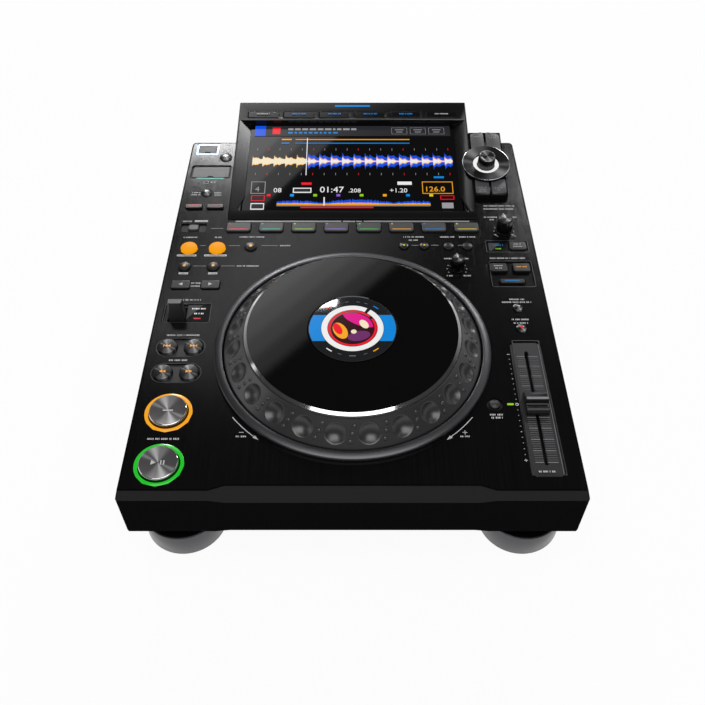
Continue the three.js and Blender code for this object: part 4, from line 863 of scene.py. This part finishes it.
def screen():
    """A generic waveform page, drawn in thin lit plates on the dark glass."""
    low, high, lifted = LCD["face"] - 0.02, LCD["face"] + PRINT, 0.03
    form = Form("lit_dark")

    def put(u0, u1, v0, v1, shade, lift=0.0):
        x0, y1 = on_screen(u0, v0)
        x1, y0 = on_screen(u1, v1)
        form.block(x0, x1, y0, y1, low, high + lift, f"lit_{shade}")

    def frame_of(u0, u1, v0, v1, shade, line=0.0035):
        tall = line * LCD_WIDTH / LCD_DEPTH
        put(u0, u1, v0, v0 + tall, shade)
        put(u0, u1, v1 - tall, v1, shade)
        put(u0, u0 + line, v0 + tall, v1 - tall, shade)
        put(u1 - line, u1, v0 + tall, v1 - tall, shade)

    # The header: fields, two rows of short bars and three framed buttons.
    put(0.0, 1.0, 0.0, 0.125, "dark")
    put(0.0, 0.055, 0.0, 0.125, "deep_blue", lifted)
    put(0.09, 0.13, 0.022, 0.102, "red", lifted)
    spread = random.Random(5)
    for end, shortest, longest, gap, v0, v1, shade in (
        (0.5, 0.012, 0.035, 0.008, 0.03, 0.052, "grey"), (0.42, 0.01, 0.025, 0.01, 0.076, 0.094, "blue"),
    ):
        u = 0.17
        while u < end:
            step = spread.uniform(shortest, longest)
            put(u, u + step, v0, v1, shade, lifted)
            u += step + gap
    for start in (0.70, 0.795, 0.89):
        frame_of(start, start + 0.08, 0.022, 0.102, "grey", 0.002)
        put(start + 0.018, start + 0.062, 0.045, 0.052, "grey", lifted)
        put(start + 0.024, start + 0.056, 0.072, 0.079, "grey", lifted)

    # The position bars and the beat ticks above and below the wave.
    put(0.21, 0.79, 0.163, 0.172, "orange")
    put(0.21, 0.79, 0.208, 0.217, "blue")
    put(0.14, 0.19, 0.160, 0.175, "orange")
    put(0.14, 0.18, 0.205, 0.220, "blue")
    for k in range(18):
        u, shade = 0.02 + k * 0.0565, "red" if k % 4 == 1 else "grey"
        put(u, u + 0.002, 0.275, 0.30, shade)
        put(u, u + 0.002, 0.565, 0.59, shade)
    waves = random.Random(11)

    def wave(u, swing, base):
        beat = (u * 17.6 + 0.1) % 1.0
        spike = math.exp(-4.5 * beat) + 0.35 * math.exp(-40.0 * (beat - 0.5) ** 2)
        return LCD_DEPTH * swing * (base + (1 - base) * min(spike, 1.0)) * waves.uniform(0.72, 1.0)

    def band(u0, u1, swing, base, shade, lift):
        tops, bottoms = [], []
        steps = int(520 * (u1 - u0))
        for i in range(steps + 1):
            u = u0 + (u1 - u0) * i / steps
            x, y = on_screen(u, 0.43)
            up = wave(u, swing, base)
            tops.append((x, y + up))
            bottoms.append((x, y - up * 0.95))
        form.graph(tops, bottoms, low, high + lift, f"lit_{shade}")

    played = 0.27
    band(0.0, played, 0.085, 0.35, "orange", 0.0)
    band(0.0, played, 0.068, 0.42, "cream", lifted)
    band(played, 1.0, 0.11, 0.45, "deep_blue", 0.0)
    band(played, 1.0, 0.075, 0.12, "orange", lifted)
    band(played, 1.0, 0.05, 0.06, "white", 0.05)
    put(0.2685, 0.2725, 0.15, 0.59, "white", 0.09)

    # The fields round the digits and the cue marks.
    put(0.90, 0.95, 0.605, 0.625, "blue")
    frame_of(0.005, 0.075, 0.665, 0.80, "grey")
    put(0.25, 0.30, 0.675, 0.70, "red")
    put(0.21, 0.30, 0.735, 0.79, "white")
    put(0.215, 0.295, 0.745, 0.78, "dark", lifted)
    put(0.72, 0.79, 0.665, 0.70, "white")
    frame_of(0.84, 0.99, 0.665, 0.80, "orange")
    for k, shade in enumerate(("red", "cyan", "lime", "purple", "lime", "orange", "blue", "yellow")):
        u = 0.085 + k * 0.1125
        put(u, u + 0.018, 0.805, 0.83, shade)

    # The small wave of the whole piece of music and what stands round it.
    tops, bottoms, low_tops = [], [], []
    steps, over = 260, random.Random(3)
    for i in range(steps + 1):
        u = 0.135 + 0.74 * i / steps
        x, base = on_screen(u, 0.925)
        swell = 0.35 + 0.5 * abs(math.sin(u * 9.0)) * (0.4 + 0.6 * math.sin(math.pi * i / steps))
        rise = LCD_DEPTH * 0.085 * swell * over.uniform(0.6, 1.0)
        bottoms.append((x, base))
        tops.append((x, base + rise))
        low_tops.append((x, base + rise * 0.45))
    form.graph(tops, bottoms, low, high, "lit_deep_blue")
    form.graph(low_tops, bottoms, low, high + lifted, "lit_orange")
    put(0.135, 0.875, 0.93, 0.936, "grey")
    put(0.25, 0.60, 0.945, 0.957, "red")
    put(0.36, 0.366, 0.84, 0.93, "white", 0.06)
    frame_of(0.01, 0.075, 0.82, 0.88, "red")
    put(0.01, 0.075, 0.905, 0.975, "white")
    put(0.014, 0.071, 0.915, 0.965, "dark", lifted)
    frame_of(0.925, 0.992, 0.82, 0.865, "red")
    put(0.93, 0.985, 0.90, 0.96, "grey")
    make("screen_picture", form, place=ON_SLOPE, smooth=0)


screen()


def digits(name, text, size, u, v, shade):
    """Plain numbers on the screen."""
    curve = bpy.data.curves.new(name, "FONT")
    curve.body = text
    curve.size = size * MM
    curve.extrude = PRINT * MM / 2
    curve.resolution_u = 3
    holder = shown(name + "_curve", curve)
    bpy.context.view_layer.update()
    mesh = bpy.data.meshes.new_from_object(holder.evaluated_get(bpy.context.evaluated_depsgraph_get()))
    bpy.data.objects.remove(holder)
    mesh.materials.clear()
    mesh.materials.append(FINISH[f"lit_{shade}"])
    settle(name, mesh, "player", ON_SLOPE @ at(*on_screen(u, v), LCD["face"] + PRINT / 2))


for row in (
    ("screen_time", "01:47", 10.5, 0.34, 0.785, "white"), ("screen_time_part", ".208", 7.0, 0.48, 0.785, "white"),
    ("screen_tempo", "+1.20", 7.5, 0.68, 0.785, "white"), ("screen_rate", "126.0", 9.0, 0.85, 0.775, "orange"),
    ("screen_beat", "4", 9.0, 0.025, 0.775, "grey"), ("screen_bars", "08", 8.0, 0.115, 0.785, "white"),
):
    digits(*row)


# ---------------------------------------------------------------- printed marks
marks = Form("legend_print")
letters = random.Random(7)


def word(x, y, width, finish="legend_print", height=1.5, form=marks, low=SUNK, high=INKED):
    """A row of short dashes where a label stands."""
    left = x - width / 2
    while left < x + width / 2 - 0.4:
        step = min(letters.choice((0.45, 0.7, 0.95)), x + width / 2 - left)
        form.block(left, left + step, y - height / 2, y + height / 2, low, high, finish)
        left += step + (1.3 if letters.random() < 0.12 else 0.42)


def line(x, y, width, height=0.45, finish="legend_dim"):
    marks.bar(x, y, width, height, SUNK, INKED, finish)


def sign(x, y, size, plus):
    """A minus or a plus."""
    line(x, y, size, 0.5, "legend_print")
    if plus:
        line(x, y, 0.5, size, "legend_print")


def plaque(x, y, width):
    """A filled label with dark dashes on it."""
    marks.slab(rounded(x, y, width, 2.4, 0.6, 3), SUNK, INKED)
    word(x, y, width - 2.4, "recess_black", 0.8, low=PANEL, high=INKED + 0.04)


def dot(x, y, radius, finish="legend_print"):
    marks.slab(disc(x, y, radius, 12), SUNK, INKED, finish)


def outlined(x, y, width, depth, corner, thick, bend=6):
    """A thin lighter outline on the panel, whose corners take bend steps."""
    inner = rounded(x, y, width - thick * 2, depth - thick * 2, max(corner - thick, 0.3), bend)
    marks.surround(rounded(x, y, width, depth, corner, bend), inner, (x, y), SUNK, INKED, "rim_line", 160)


selector_keys(
    "selector_rear_keys",
    ((88.0, 0.0, -0.8, -0.3), (93.9, 0.0, -0.8, -0.3), (94.0, 0.0, -4.5, -0.3), (98.6, 0.0, -4.5, -0.05),
     (99.4, 0.0, -4.5, 0.0), (108.2, 0.0, -4.5, 0.0), (108.3, 0.0, -0.8, 0.0), (112.0, 0.3, -0.8, 0.0),
     (113.8, 0.9, -0.8, -0.1), (114.4, 1.6, -0.8, -0.25), (114.6, 2.4, -0.8, -0.35)),
    ((123.8, 107.8, 6.0), (139.4, 108.8, 8.5), (139.4, 106.2, 7.0)),
)
selector_keys(
    "selector_front_keys",
    ((31.3, 1.6, -4.5, -0.5), (31.5, 0.8, -4.5, -0.2), (32.2, 0.1, -4.5, 0.0), (40.2, 0.0, -4.5, 0.0),
     (41.0, 0.0, -4.5, -0.05), (45.6, 0.0, -4.5, -0.3), (45.7, 0.0, -0.8, -0.3), (50.0, 0.0, -0.8, -0.3)),
    ((123.8, 39.4, 8.0), (123.8, 37.0, 6.0), (123.8, 34.6, 7.5), (139.4, 38.6, 7.6), (139.4, 36.0, 4.4)),
)

# Labels as (across, along, width) from the middle of their control.
for node, *labels in (
    ("usb_lid", (0.8, -13.0, 11.0), (0.1, -17.4, 6.5)),
    ("usb_stop_key", (0.3, 21.7, 5.5), (0.5, 13.6, 8.8), (0.3, 10.4, 8.8)),
    ("sd_door", (4.1, -16.8, 5.0)),
    ("time_mode_key", (-9.9, 0.5, 7.7), (-10.0, -2.8, 8.3), (10.9, 0.2, 7.3), (11.1, -3.2, 6.5)),
    ("call_delete_key", (-6.5, 9.2, 8.8)),
    ("loop_in_key", (-0.8, 15.5, 12.5)),
    ("loop_out_key", (-0.4, 15.5, 6.7)),
    ("reloop_key", (0.2, 13.9, 23.0), (30.9, 2.1, 9.6)),
    ("beat_loop_keys", (43.1, 1.3, 19.8)),
    ("beat_jump_keys", (-0.1, 2.7, 8.4), (0.0, -1.0, 8.4)),
    ("direction_lever", (8.2, 17.5, 18.0)),
    ("track_search_keys", (0.4, 13.1, 26.7)),
    ("search_keys", (0.1, 12.9, 15.0)),
    ("play_pause_key", (-0.2, 22.1, 23.3)),
    ("loop_call_keys", (0.35, 13.1, 18.9), (0.0, 8.7, 8.6)),
    ("delete_memory_keys", (-8.4, 13.5, 13.4), (9.8, 13.5, 15.2)),
    ("jog_adjust_knob", (-6.7, 13.2, 7.0), (9.5, 13.2, 3.2), (-6.8, -8.8, 5.4), (8.2, -8.8, 6.2)),
    ("vinyl_speed_knob", (-0.1, 36.4, 28.9), (-1.0, 31.8, 28.0), (-9.4, 19.8, 13.0), (10.5, 19.8, 7.2),
     (-8.5, 16.2, 5.2), (9.1, 16.2, 2.6)),
    ("sync_master_keys", (-0.1, 12.9, 32.0)),
    ("tempo_range_keys", (0.7, 22.0, 12.4), (0.4, 18.7, 25.0), (0.4, -1.4, 14.2), (0.5, -5.4, 11.5)),
    ("tempo_reset_key", (0.2, -9.6, 9.7), (0.3, -12.4, 8.3)),
):
    x, y = centre_of(node)
    for across, along, width in labels:
        word(x + across, y + along, width)
word(137.2, -205.7, 12.2)
word(-81.3, -175.5, 7.4, height=1.3)
word(82.2, -175.5, 7.4, height=1.3)
sign(-81.3, -171.9, 3.5, False)
sign(82.2, -171.9, 3.5, True)
for x, y, width in (
    (-124.3, 57.7, 11.4), (-134.1, 34.0, 4.9), (-106.0, 34.0, 9.9), (-74.3, 34.0, 14.6), (-134.0, 7.1, 10.9),
    (-109.0, 7.1, 12.5), (55.8, 34.4, 6.2), (74.1, 34.4, 6.9), (96.6, 34.4, 3.3),
):
    line(x, y, width)
for x, y, width in (
    (-147.0, 20.9, 17.3), (-121.5, 20.9, 20.2), (-146.8, -2.3, 8.3), (-121.3, -2.3, 8.0), (-139.7, 68.2, 12.2),
):
    plaque(x, y, width)
marks.slab(rounded(-142.2, 126.9, 4.6, 3.8, 0.5, 3), SUNK, INKED)
marks.slab(rounded(-142.2, 126.9, 3.9, 3.1, 0.4, 3), PANEL, INKED + 0.03, "recess_black")

# The direction arcs that follow the jog ring, each with an arrow head at its front end.
ARC_INNER, ARC_OUTER = 112.6, 113.3
for side, start, end, tip in ((-1, 218.0, 230.5, 230.5), (1, 309.5, 322.0, 309.5)):
    marks.sector(ARC_INNER, ARC_OUTER, start, end, SUNK, INKED, centre=JOG, steps=16)
    tip = math.radians(tip)
    neck = Vector(polar(112.95, tip, *JOG))
    ahead = Vector((-math.sin(tip), math.cos(tip))) * -side
    across = Vector((ahead.y, -ahead.x))
    nose = [neck + ahead * 4.6, neck + across * 1.3, neck - across * 1.3]
    turn = (nose[1] - nose[0]).cross(nose[2] - nose[0])
    marks.slab([tuple(p) for p in (nose if turn > 0 else nose[::-1])], SUNK, INKED)

# The tempo scale beside the slider: dots, a small ring at the middle, minus and plus.
for i in range(1, 20):
    if i != 10:
        dot(123.5, -96.0 - i * 5.02, 0.42 if i % 5 else 0.6, "legend_dim")
marks.lathe([(0.7, PANEL), (1.3, PANEL), (1.3, INKED), (0.7, INKED)], (123.6, -146.0), 20, closed=True)
sign(123.4, -96.0, 2.2, False)
sign(123.4, -196.3, 2.4, True)

# Dots round the two knobs, and two short lines beside the first.
for node, radius, strokes in (
    ("vinyl_speed_knob", 9.0, (((128.7, 49.4), (132.1, 46.5)), ((141.6, 52.0), (148.3, 46.5)))),
    ("jog_adjust_knob", 8.6, ()),
):
    x, y = centre_of(node)
    for k in range(9):
        dot(*polar(radius, math.radians(-30 + k * 30), x, y), 0.42)
    for (x0, y0), (x1, y1) in strokes:
        ahead = Vector((x1 - x0, y1 - y0)).normalized()
        dx, dy = Vector((-ahead.y, ahead.x)) * 0.25
        marks.slab([(x0 - dx, y0 - dy), (x1 - dx, y1 - dy), (x1 + dx, y1 + dy), (x0 + dx, y0 + dy)], SUNK, INKED)

for x0, x1, y0, y1, corner, thick in (
    (119.6, 157.3, -19.2, 13.8, 2.0, 0.6), (119.4, 157.6, 25.2, 40.9, 1.2, 0.5),
    (-156.4, -117.6, -61.2, -39.4, 0.8, 0.5),
):
    outlined((x0 + x1) / 2, (y0 + y1) / 2, x1 - x0, y1 - y0, corner, thick)
for node in ("track_search_keys", "search_keys"):
    outlined(*centre_of(node), 39.6, 20.1, 10.04, 0.7, 12)
make("panel_marks", marks, smooth=0)

strip = Form("cue_bar")
for x0, x1 in ((-108.0, -10.5), (10.5, 108.0)):
    strip.block(x0, x1, 66.7, 68.7, SUNK, PANEL + 0.12)
word(0.0, 67.7, 17.0, height=1.3, form=strip)
make("hot_cue_strip", strip, smooth=0)


# ---------------------------------------------------------------- recesses and windows
LINED = POCKET + 0.06  # upper side of the pockets' liners
GAP = 0.1  # what a liner is narrower than its pocket
liners = Form("recess_black")


def line_pocket(x, y, width, depth, corner, hole):
    outline = rounded(x, y, width - GAP, depth - GAP, corner, 8)
    liners.surround(outline, hole, (x, y), POCKET, LINED)


x, y, width, depth = box_of("sd_door", 0.25)
line_pocket(x, y, 39.2, 21.7, 2.0, rounded(x, y + 0.75, width, depth + 1.5, 0.8))
x, y = centre_of("call_delete_key")
line_pocket(x, y, 22.9, 11.5, 1.0, rounded(x, y, 10.0, 8.0, 1.0))
x, y = centre_of("tempo_reset_key")
line_pocket(x, y, 12.4, 12.4, 6.2, disc(x, y, 4.5))
for node, size in (("track_search_keys", 37.7), ("search_keys", 37.5)):
    x, y = centre_of(node)
    whole = rounded(x, y, size - GAP, 18.1, 9.04, 10)
    for side in (-1, 1):
        half = [(px, py) for px, py in whole if (px - x) * side > 0]
        half.sort(key=lambda p: math.atan2(p[1] - y, (p[0] - x) * side) * side)
        half += [(x, y + side * 9.05), (x, y - side * 9.05)]
        middle = (x + side * SEARCH_PITCH, y)
        liners.surround(half, disc(*middle, 8.0, 48), middle, POCKET, LINED, "pad_key")
make("pocket_liners", liners)

x, y, width, depth = box_of("usb_lid", 0.5)
lid = rounded(x, y, width, depth, 0.5)
usb = Form("lit_cyan").surround(rounded(x, y, 22.4, 19.1, 1.0, 6), lid, (x, y), POCKET, PANEL - 0.35)
make("usb_light_frame", usb)
x, y, width, depth = box_of("sd_door", 0.3)
make("sd_light", Form("lit_teal").bar(x, y - depth / 2 - 1.0, width - 9.0, 1.1, POCKET, PANEL - 0.5))


def window(form, x, y, width, depth, across, down):
    """A dark pane with a painted reflection, a lighter field in its rear left corner."""
    low, high = PANEL - 1.25, PANEL - 0.35
    form.slab(rounded(x, y, width, depth, 0.8, 3), low, high, "window_black")
    x0, x1, y0, y1 = x - width / 2 + 0.5, x + width / 2 - 0.5, y - depth / 2 + 0.5, y + depth / 2 - 0.5
    corners = [(x0, y0 + (y1 - y0) * (1 - down)), (x0 + (x1 - x0) * across, y1), (x0, y1)]
    if down >= 1:
        corners[:1] = [(x0, y0), (x0 + (x1 - x0) * 0.12, y0)]
    # The painted reflection over the pane.
    form.slab(corners, high - 0.02, high + 0.04, "window_painted_reflection")


def panel_lights():
    """The lamp beside the tempo scale and the lit words in the two windows."""
    form, low, high = Form("lit_lime"), PANEL - 0.31, PANEL - 0.24
    form.slab(rounded(118.7, -145.9, 4.9, 1.7, 0.5, 3), SUNK, PANEL + 0.35, edge=0.15)
    x, y = centre_of("jog_mode_key")
    window(form, x - 17.2, y, 17.8, 11.4, 0.62, 1.0)
    word(x - 17.0, y + 2.2, 9.0, "lit_blue", 1.3, form, low, high)
    word(x - 16.6, y - 2.6, 6.6, "lit_lime", 1.3, form, low, high)
    x, y = -128.2, -50.0
    window(form, x, y, 18.6, 19.4, 0.68, 0.88)
    word(x + 0.6, y + 5.0, 12.0, "lit_white", 1.4, form, low, high)
    word(x + 0.8, y - 0.6, 7.6, "lit_white", 1.4, form, low, high)
    word(x + 0.8, y - 6.2, 7.0, "lit_red", 1.4, form, low, high)
    make("panel_lights", form, smooth=0)


panel_lights()


# ---------------------------------------------------------------- marks on the keys
def marked(name, node, finish, *shapes, sunk=0.03, raised=PRINT):
    """Marks that ride with a key; a shape is its function and sizes, from the middle of the key's top."""
    form, top = Form(finish), heights_of(node)[1]
    for shape, *sizes in shapes:
        shape(form, *sizes, low=top - sunk, high=top + raised)
    make(name, form, body_of(node), at(*centre_of(node)), smooth=0)


def arrow(form, x, y, size, way, low, high):
    """A triangle that points left or right (way -1 or 1)."""
    back, tip, half = x - way * size * 0.5, x + way * size * 0.5, size * 0.55
    points = [(back, y - half), (tip, y), (back, y + half)]
    form.slab(points if way > 0 else points[::-1], low, high)


def lamp_dot(form, x, y, radius, steps, low, high):
    form.slab(disc(x, y, radius, steps), low, high)


# A lighter plate on the lever's top: a painted highlight.
def lever_highlight_plate(form, low, high):
    form.slab(rounded(0, 0, 10.6, 4.7, 0.5, 3), low, high, edge=0.1)


def tinted(form, x, y, width, depth, finish, low, high):
    form.bar(x, y, width, depth, low, high, finish)


def label(form, x, y, width, height, finish, low, high):
    word(x, y, width, finish, height, form, low, high)


PAD_LIGHTS = ("red", "teal", "lime", "purple", "green", "orange", "blue", "yellow")
for pad, shade in enumerate(PAD_LIGHTS, 1):
    marked(
        f"hot_cue_light_{pad}", f"hot_cue_key_{pad}", f"lit_{shade}",
        (Form.bar, 0.3, -3.4, 17.0, 0.75), (Form.bar, -8.3, 4.0, 1.5, 1.6),
    )
# The lever's top gets its painted highlight.
marked("lever_top_plate", "direction_lever", "lever_top_painted_highlight", (lever_highlight_plate,), sunk=0.3, raised=0.05)
marked(
    "beat_jump_marks", "beat_jump_keys", "legend_print", (arrow, -12.7, 0.0, 3.2, -1), (arrow, 12.7, 0.0, 3.2, 1),
)
sides = [(side, side * SEARCH_PITCH) for side in (-1, 1)]
marked("track_search_marks", "track_search_keys", "lit_orange", *(
    shape for side, x in sides for shape in (
        (arrow, x - side * 1.3, 0, 2.4, side), (arrow, x + side * 1.1, 0, 2.4, side),
        (Form.bar, x + side * 2.8, 0, 0.5, 2.6),
    )
), sunk=0.12)
marked("search_marks", "search_keys", "lit_orange", *(
    (arrow, x + side * shift, 0, 2.5, side) for side, x in sides for shift in (-1.2, 1.3)
), sunk=0.12)
marked(
    "play_pause_marks", "play_pause_key", "legend_print", (arrow, -3.4, 0, 3.6, 1), (Form.bar, 1.9, 0, 0.9, 3.6),
    (Form.bar, 4.0, 0, 0.9, 3.6), sunk=1.45, raised=-1.32,
)
marked("cue_marks", "cue_key", "legend_print", (Form.bar, 0, 0, 7.6, 1.2), sunk=1.45, raised=-1.32)
marked("reloop_light", "reloop_key", "lit_orange", (lamp_dot, 0, 0, 1.5, 24), sunk=0.1)
for name, node, shade, pitch, size in (
    ("beat_loop_lights", "beat_loop_keys", "orange", 25.2, 1.25),
    ("loop_call_lights", "loop_call_keys", "yellow", 18.1, 0.9),
):
    marked(name, node, f"lit_{shade}", *((lamp_dot, side * pitch / 2, 0, size, 20) for side in (-1, 1)), sunk=0.1)
marked(
    "quantize_slip_lights", "quantize_slip_keys", "lit_red",
    (tinted, -9.9, 0.4, 9.5, 1.5, "lit_red"), (tinted, 9.9, 0.4, 9.5, 1.5, "lit_dim_red"),
)
marked(
    "sync_master_marks", "sync_master_keys", "legend_print", (label, -10.05, 1.6, 7.5, 1.1, "legend_print"),
    (label, -10.05, -1.6, 6.0, 1.1, "legend_print"), (label, 10.05, 0.2, 9.0, 1.2, "lit_orange"),
)
marked("key_sync_marks", "key_sync_key", "lit_blue", (label, 0, 0, 13.0, 1.2, "lit_blue"))
marked(
    "jog_mode_marks", "jog_mode_key", "legend_print",
    (label, 0, 1.5, 7.0, 1.0, "legend_print"), (label, 0, -1.5, 8.0, 1.0, "legend_print"),
)
marked("master_tempo_light", "tempo_range_keys", "lit_red", (lamp_dot, 0, -11.8, 1.2, 20), sunk=0.1)

for pair in (1, 2, 3):
    form = Form("lit_blue")
    for side in (-1, 1):
        finish = "legend_print" if side == pair - 2 else "lit_blue"
        word((pair - 2) * 72.2 + side * 18.05, 139.3, 13.5, finish, 1.5, form, 1.42, 1.62)
    make(f"display_key_marks_{pair}", form, f"display_keys_{pair}", ON_SLOPE, smooth=0)
make("top_light_bar", Form("lit_blue").block(-17.9, 17.9, 151.2, 153.4, -1.0, 0.35), place=ON_SLOPE)


# ---------------------------------------------------------------- ribs and frame of the tempo slider
ribs, foot_of_ribs = Form("fader_rule"), 91.15
for i in range(51):
    y, finish = -97.6 - 2.0 * i, "fader_rule" if i % 5 else "fader_rule_bright"
    for x0, x1 in ((129.8, 136.2), (138.6, 146.5)):
        ribs.block(x0, x1, y - 0.3, y + 0.3, foot_of_ribs, 91.42, finish)
ribs.block(148.5, 148.85, -207.5, -84.6, foot_of_ribs, 91.45, "fader_rule_bright")
make("fader_ribs", ribs, smooth=0)
outer = [(126.0, -209.0), (150.9, -209.0), (149.8, -81.0), (127.8, -81.0)]
inner = [(126.7, -208.3), (150.2, -208.3), (149.1, -81.7), (128.5, -81.7)]
fader_frame = Form("rim_line").surround(outer, inner, (138.4, -145.0), SUNK, INKED, steps=480)
make("fader_frame", fader_frame, smooth=0)


# ---------------------------------------------------------------- camera, light and floor, in metres
camera_data = bpy.data.cameras.new("photo_view")
camera_data.sensor_width = 36.0
camera_data.lens = 41.84
camera = shown("photo_view", camera_data)
camera.location = (0.0, -0.5246, 0.5791)
camera.rotation_euler = (math.radians(41.48), 0.0, 0.0)
bpy.context.scene.camera = camera


def softbox(name, place, target, width, height, radiance):
    """A flat lamp of that radiance."""
    data = bpy.data.lights.new(name, "AREA")
    data.shape = "RECTANGLE"
    data.size, data.size_y = width, height
    data.energy = radiance * math.pi * width * height
    lamp = shown(name, data)
    lamp.location = place
    lamp.rotation_euler = (Vector(target) - Vector(place)).to_track_quat("-Z", "Y").to_euler()
    return lamp


# Lamps under the studio's ceiling that face straight down.
for name, x, y, width, depth, radiance in (
    ("rear_left", -0.55, 2.5, 0.5, 0.5, 48.0), ("right", 1.25, 0.6, 0.5, 0.8, 1.1),
    ("rear_right", 1.03, 2.1, 0.5, 0.6, 26.0),
):
    softbox(name, (x, y, 1.5), (x, y, 0.0), width, depth, radiance)
softbox("left_side", (-1.6, 0.0, 0.7), (0, 0, 0.1), 0.8, 0.6, 1.0)
softbox("overhead", (0.0, -0.55, 1.7), (0, 0, 0.1), 1.6, 1.2, 3.0)

# Lamps side by side, brighter outwards, whose slanted edge is mirrored by the gloss faces.
start, end = Vector((-0.26, 1.03, 1.5)), Vector((0.14, 1.5, 1.5))
along = (end - start).normalized()
out = Vector((-along.y, along.x, 0.0))
strip_width = 0.065
for k in range(8):
    middle = start + along * 0.35 + out * strip_width * (k + 0.5)
    lamp = softbox(f"slanted_{k}", middle, middle - Vector((0, 0, 1)), 1.0, strip_width, 0.45 + 0.4 * k)
    lamp.rotation_euler = (0.0, 0.0, math.atan2(along.y, along.x))

# A pale studio that darkens upwards.
world = bpy.context.scene.world = bpy.data.worlds.new("studio")
studio = Graph(world)
upward = studio.add("SeparateXYZ", [studio.add("TexCoord", (), "Generated")], "Z")
limits = {"From Min": 0.05, "From Max": 0.45, "To Min": 0.55, "To Max": 0.05}
background = studio.nodes["Background"].inputs
studio.put(background["Strength"], studio.add("MapRange", {"Value": upward, **limits}, "Result"))
studio.put(background["Color"], (1, 1, 1, 1))

# White paper that looks evenly white to the camera and in mirrors, and takes faint shadows.
floor_mesh = mesh_of("floor", Form("floor_paper").block(-6000, 6000, -6000, 6000, -20, 0))
floor = shown("floor", floor_mesh)
paper = bpy.data.materials.new("floor_paper")
sheet = Graph(paper)
shader = sheet.nodes["Principled BSDF"]
for key, value in (("Base Color", (0.9, 0.9, 0.9, 1)), ("Roughness", 0.9), ("Specular IOR Level", 0.0)):
    sheet.put(shader.inputs[key], value)
rays = sheet.add("LightPath", ()).node.outputs
seen = sheet.calc("MAXIMUM", rays["Is Camera Ray"], rays["Is Glossy Ray"])
seen = sheet.calc("MAXIMUM", seen, rays["Is Transmission Ray"])
glow = sheet.add("Emission", {"Strength": 1.0})
mixed = sheet.add("MixShader", (sheet.calc("MULTIPLY", seen, 0.95), shader.outputs[0], glow))
sheet.put(sheet.nodes["Material Output"].inputs["Surface"], mixed)
floor_mesh.materials.append(paper)

bpy.context.scene.view_settings.view_transform = "Standard"
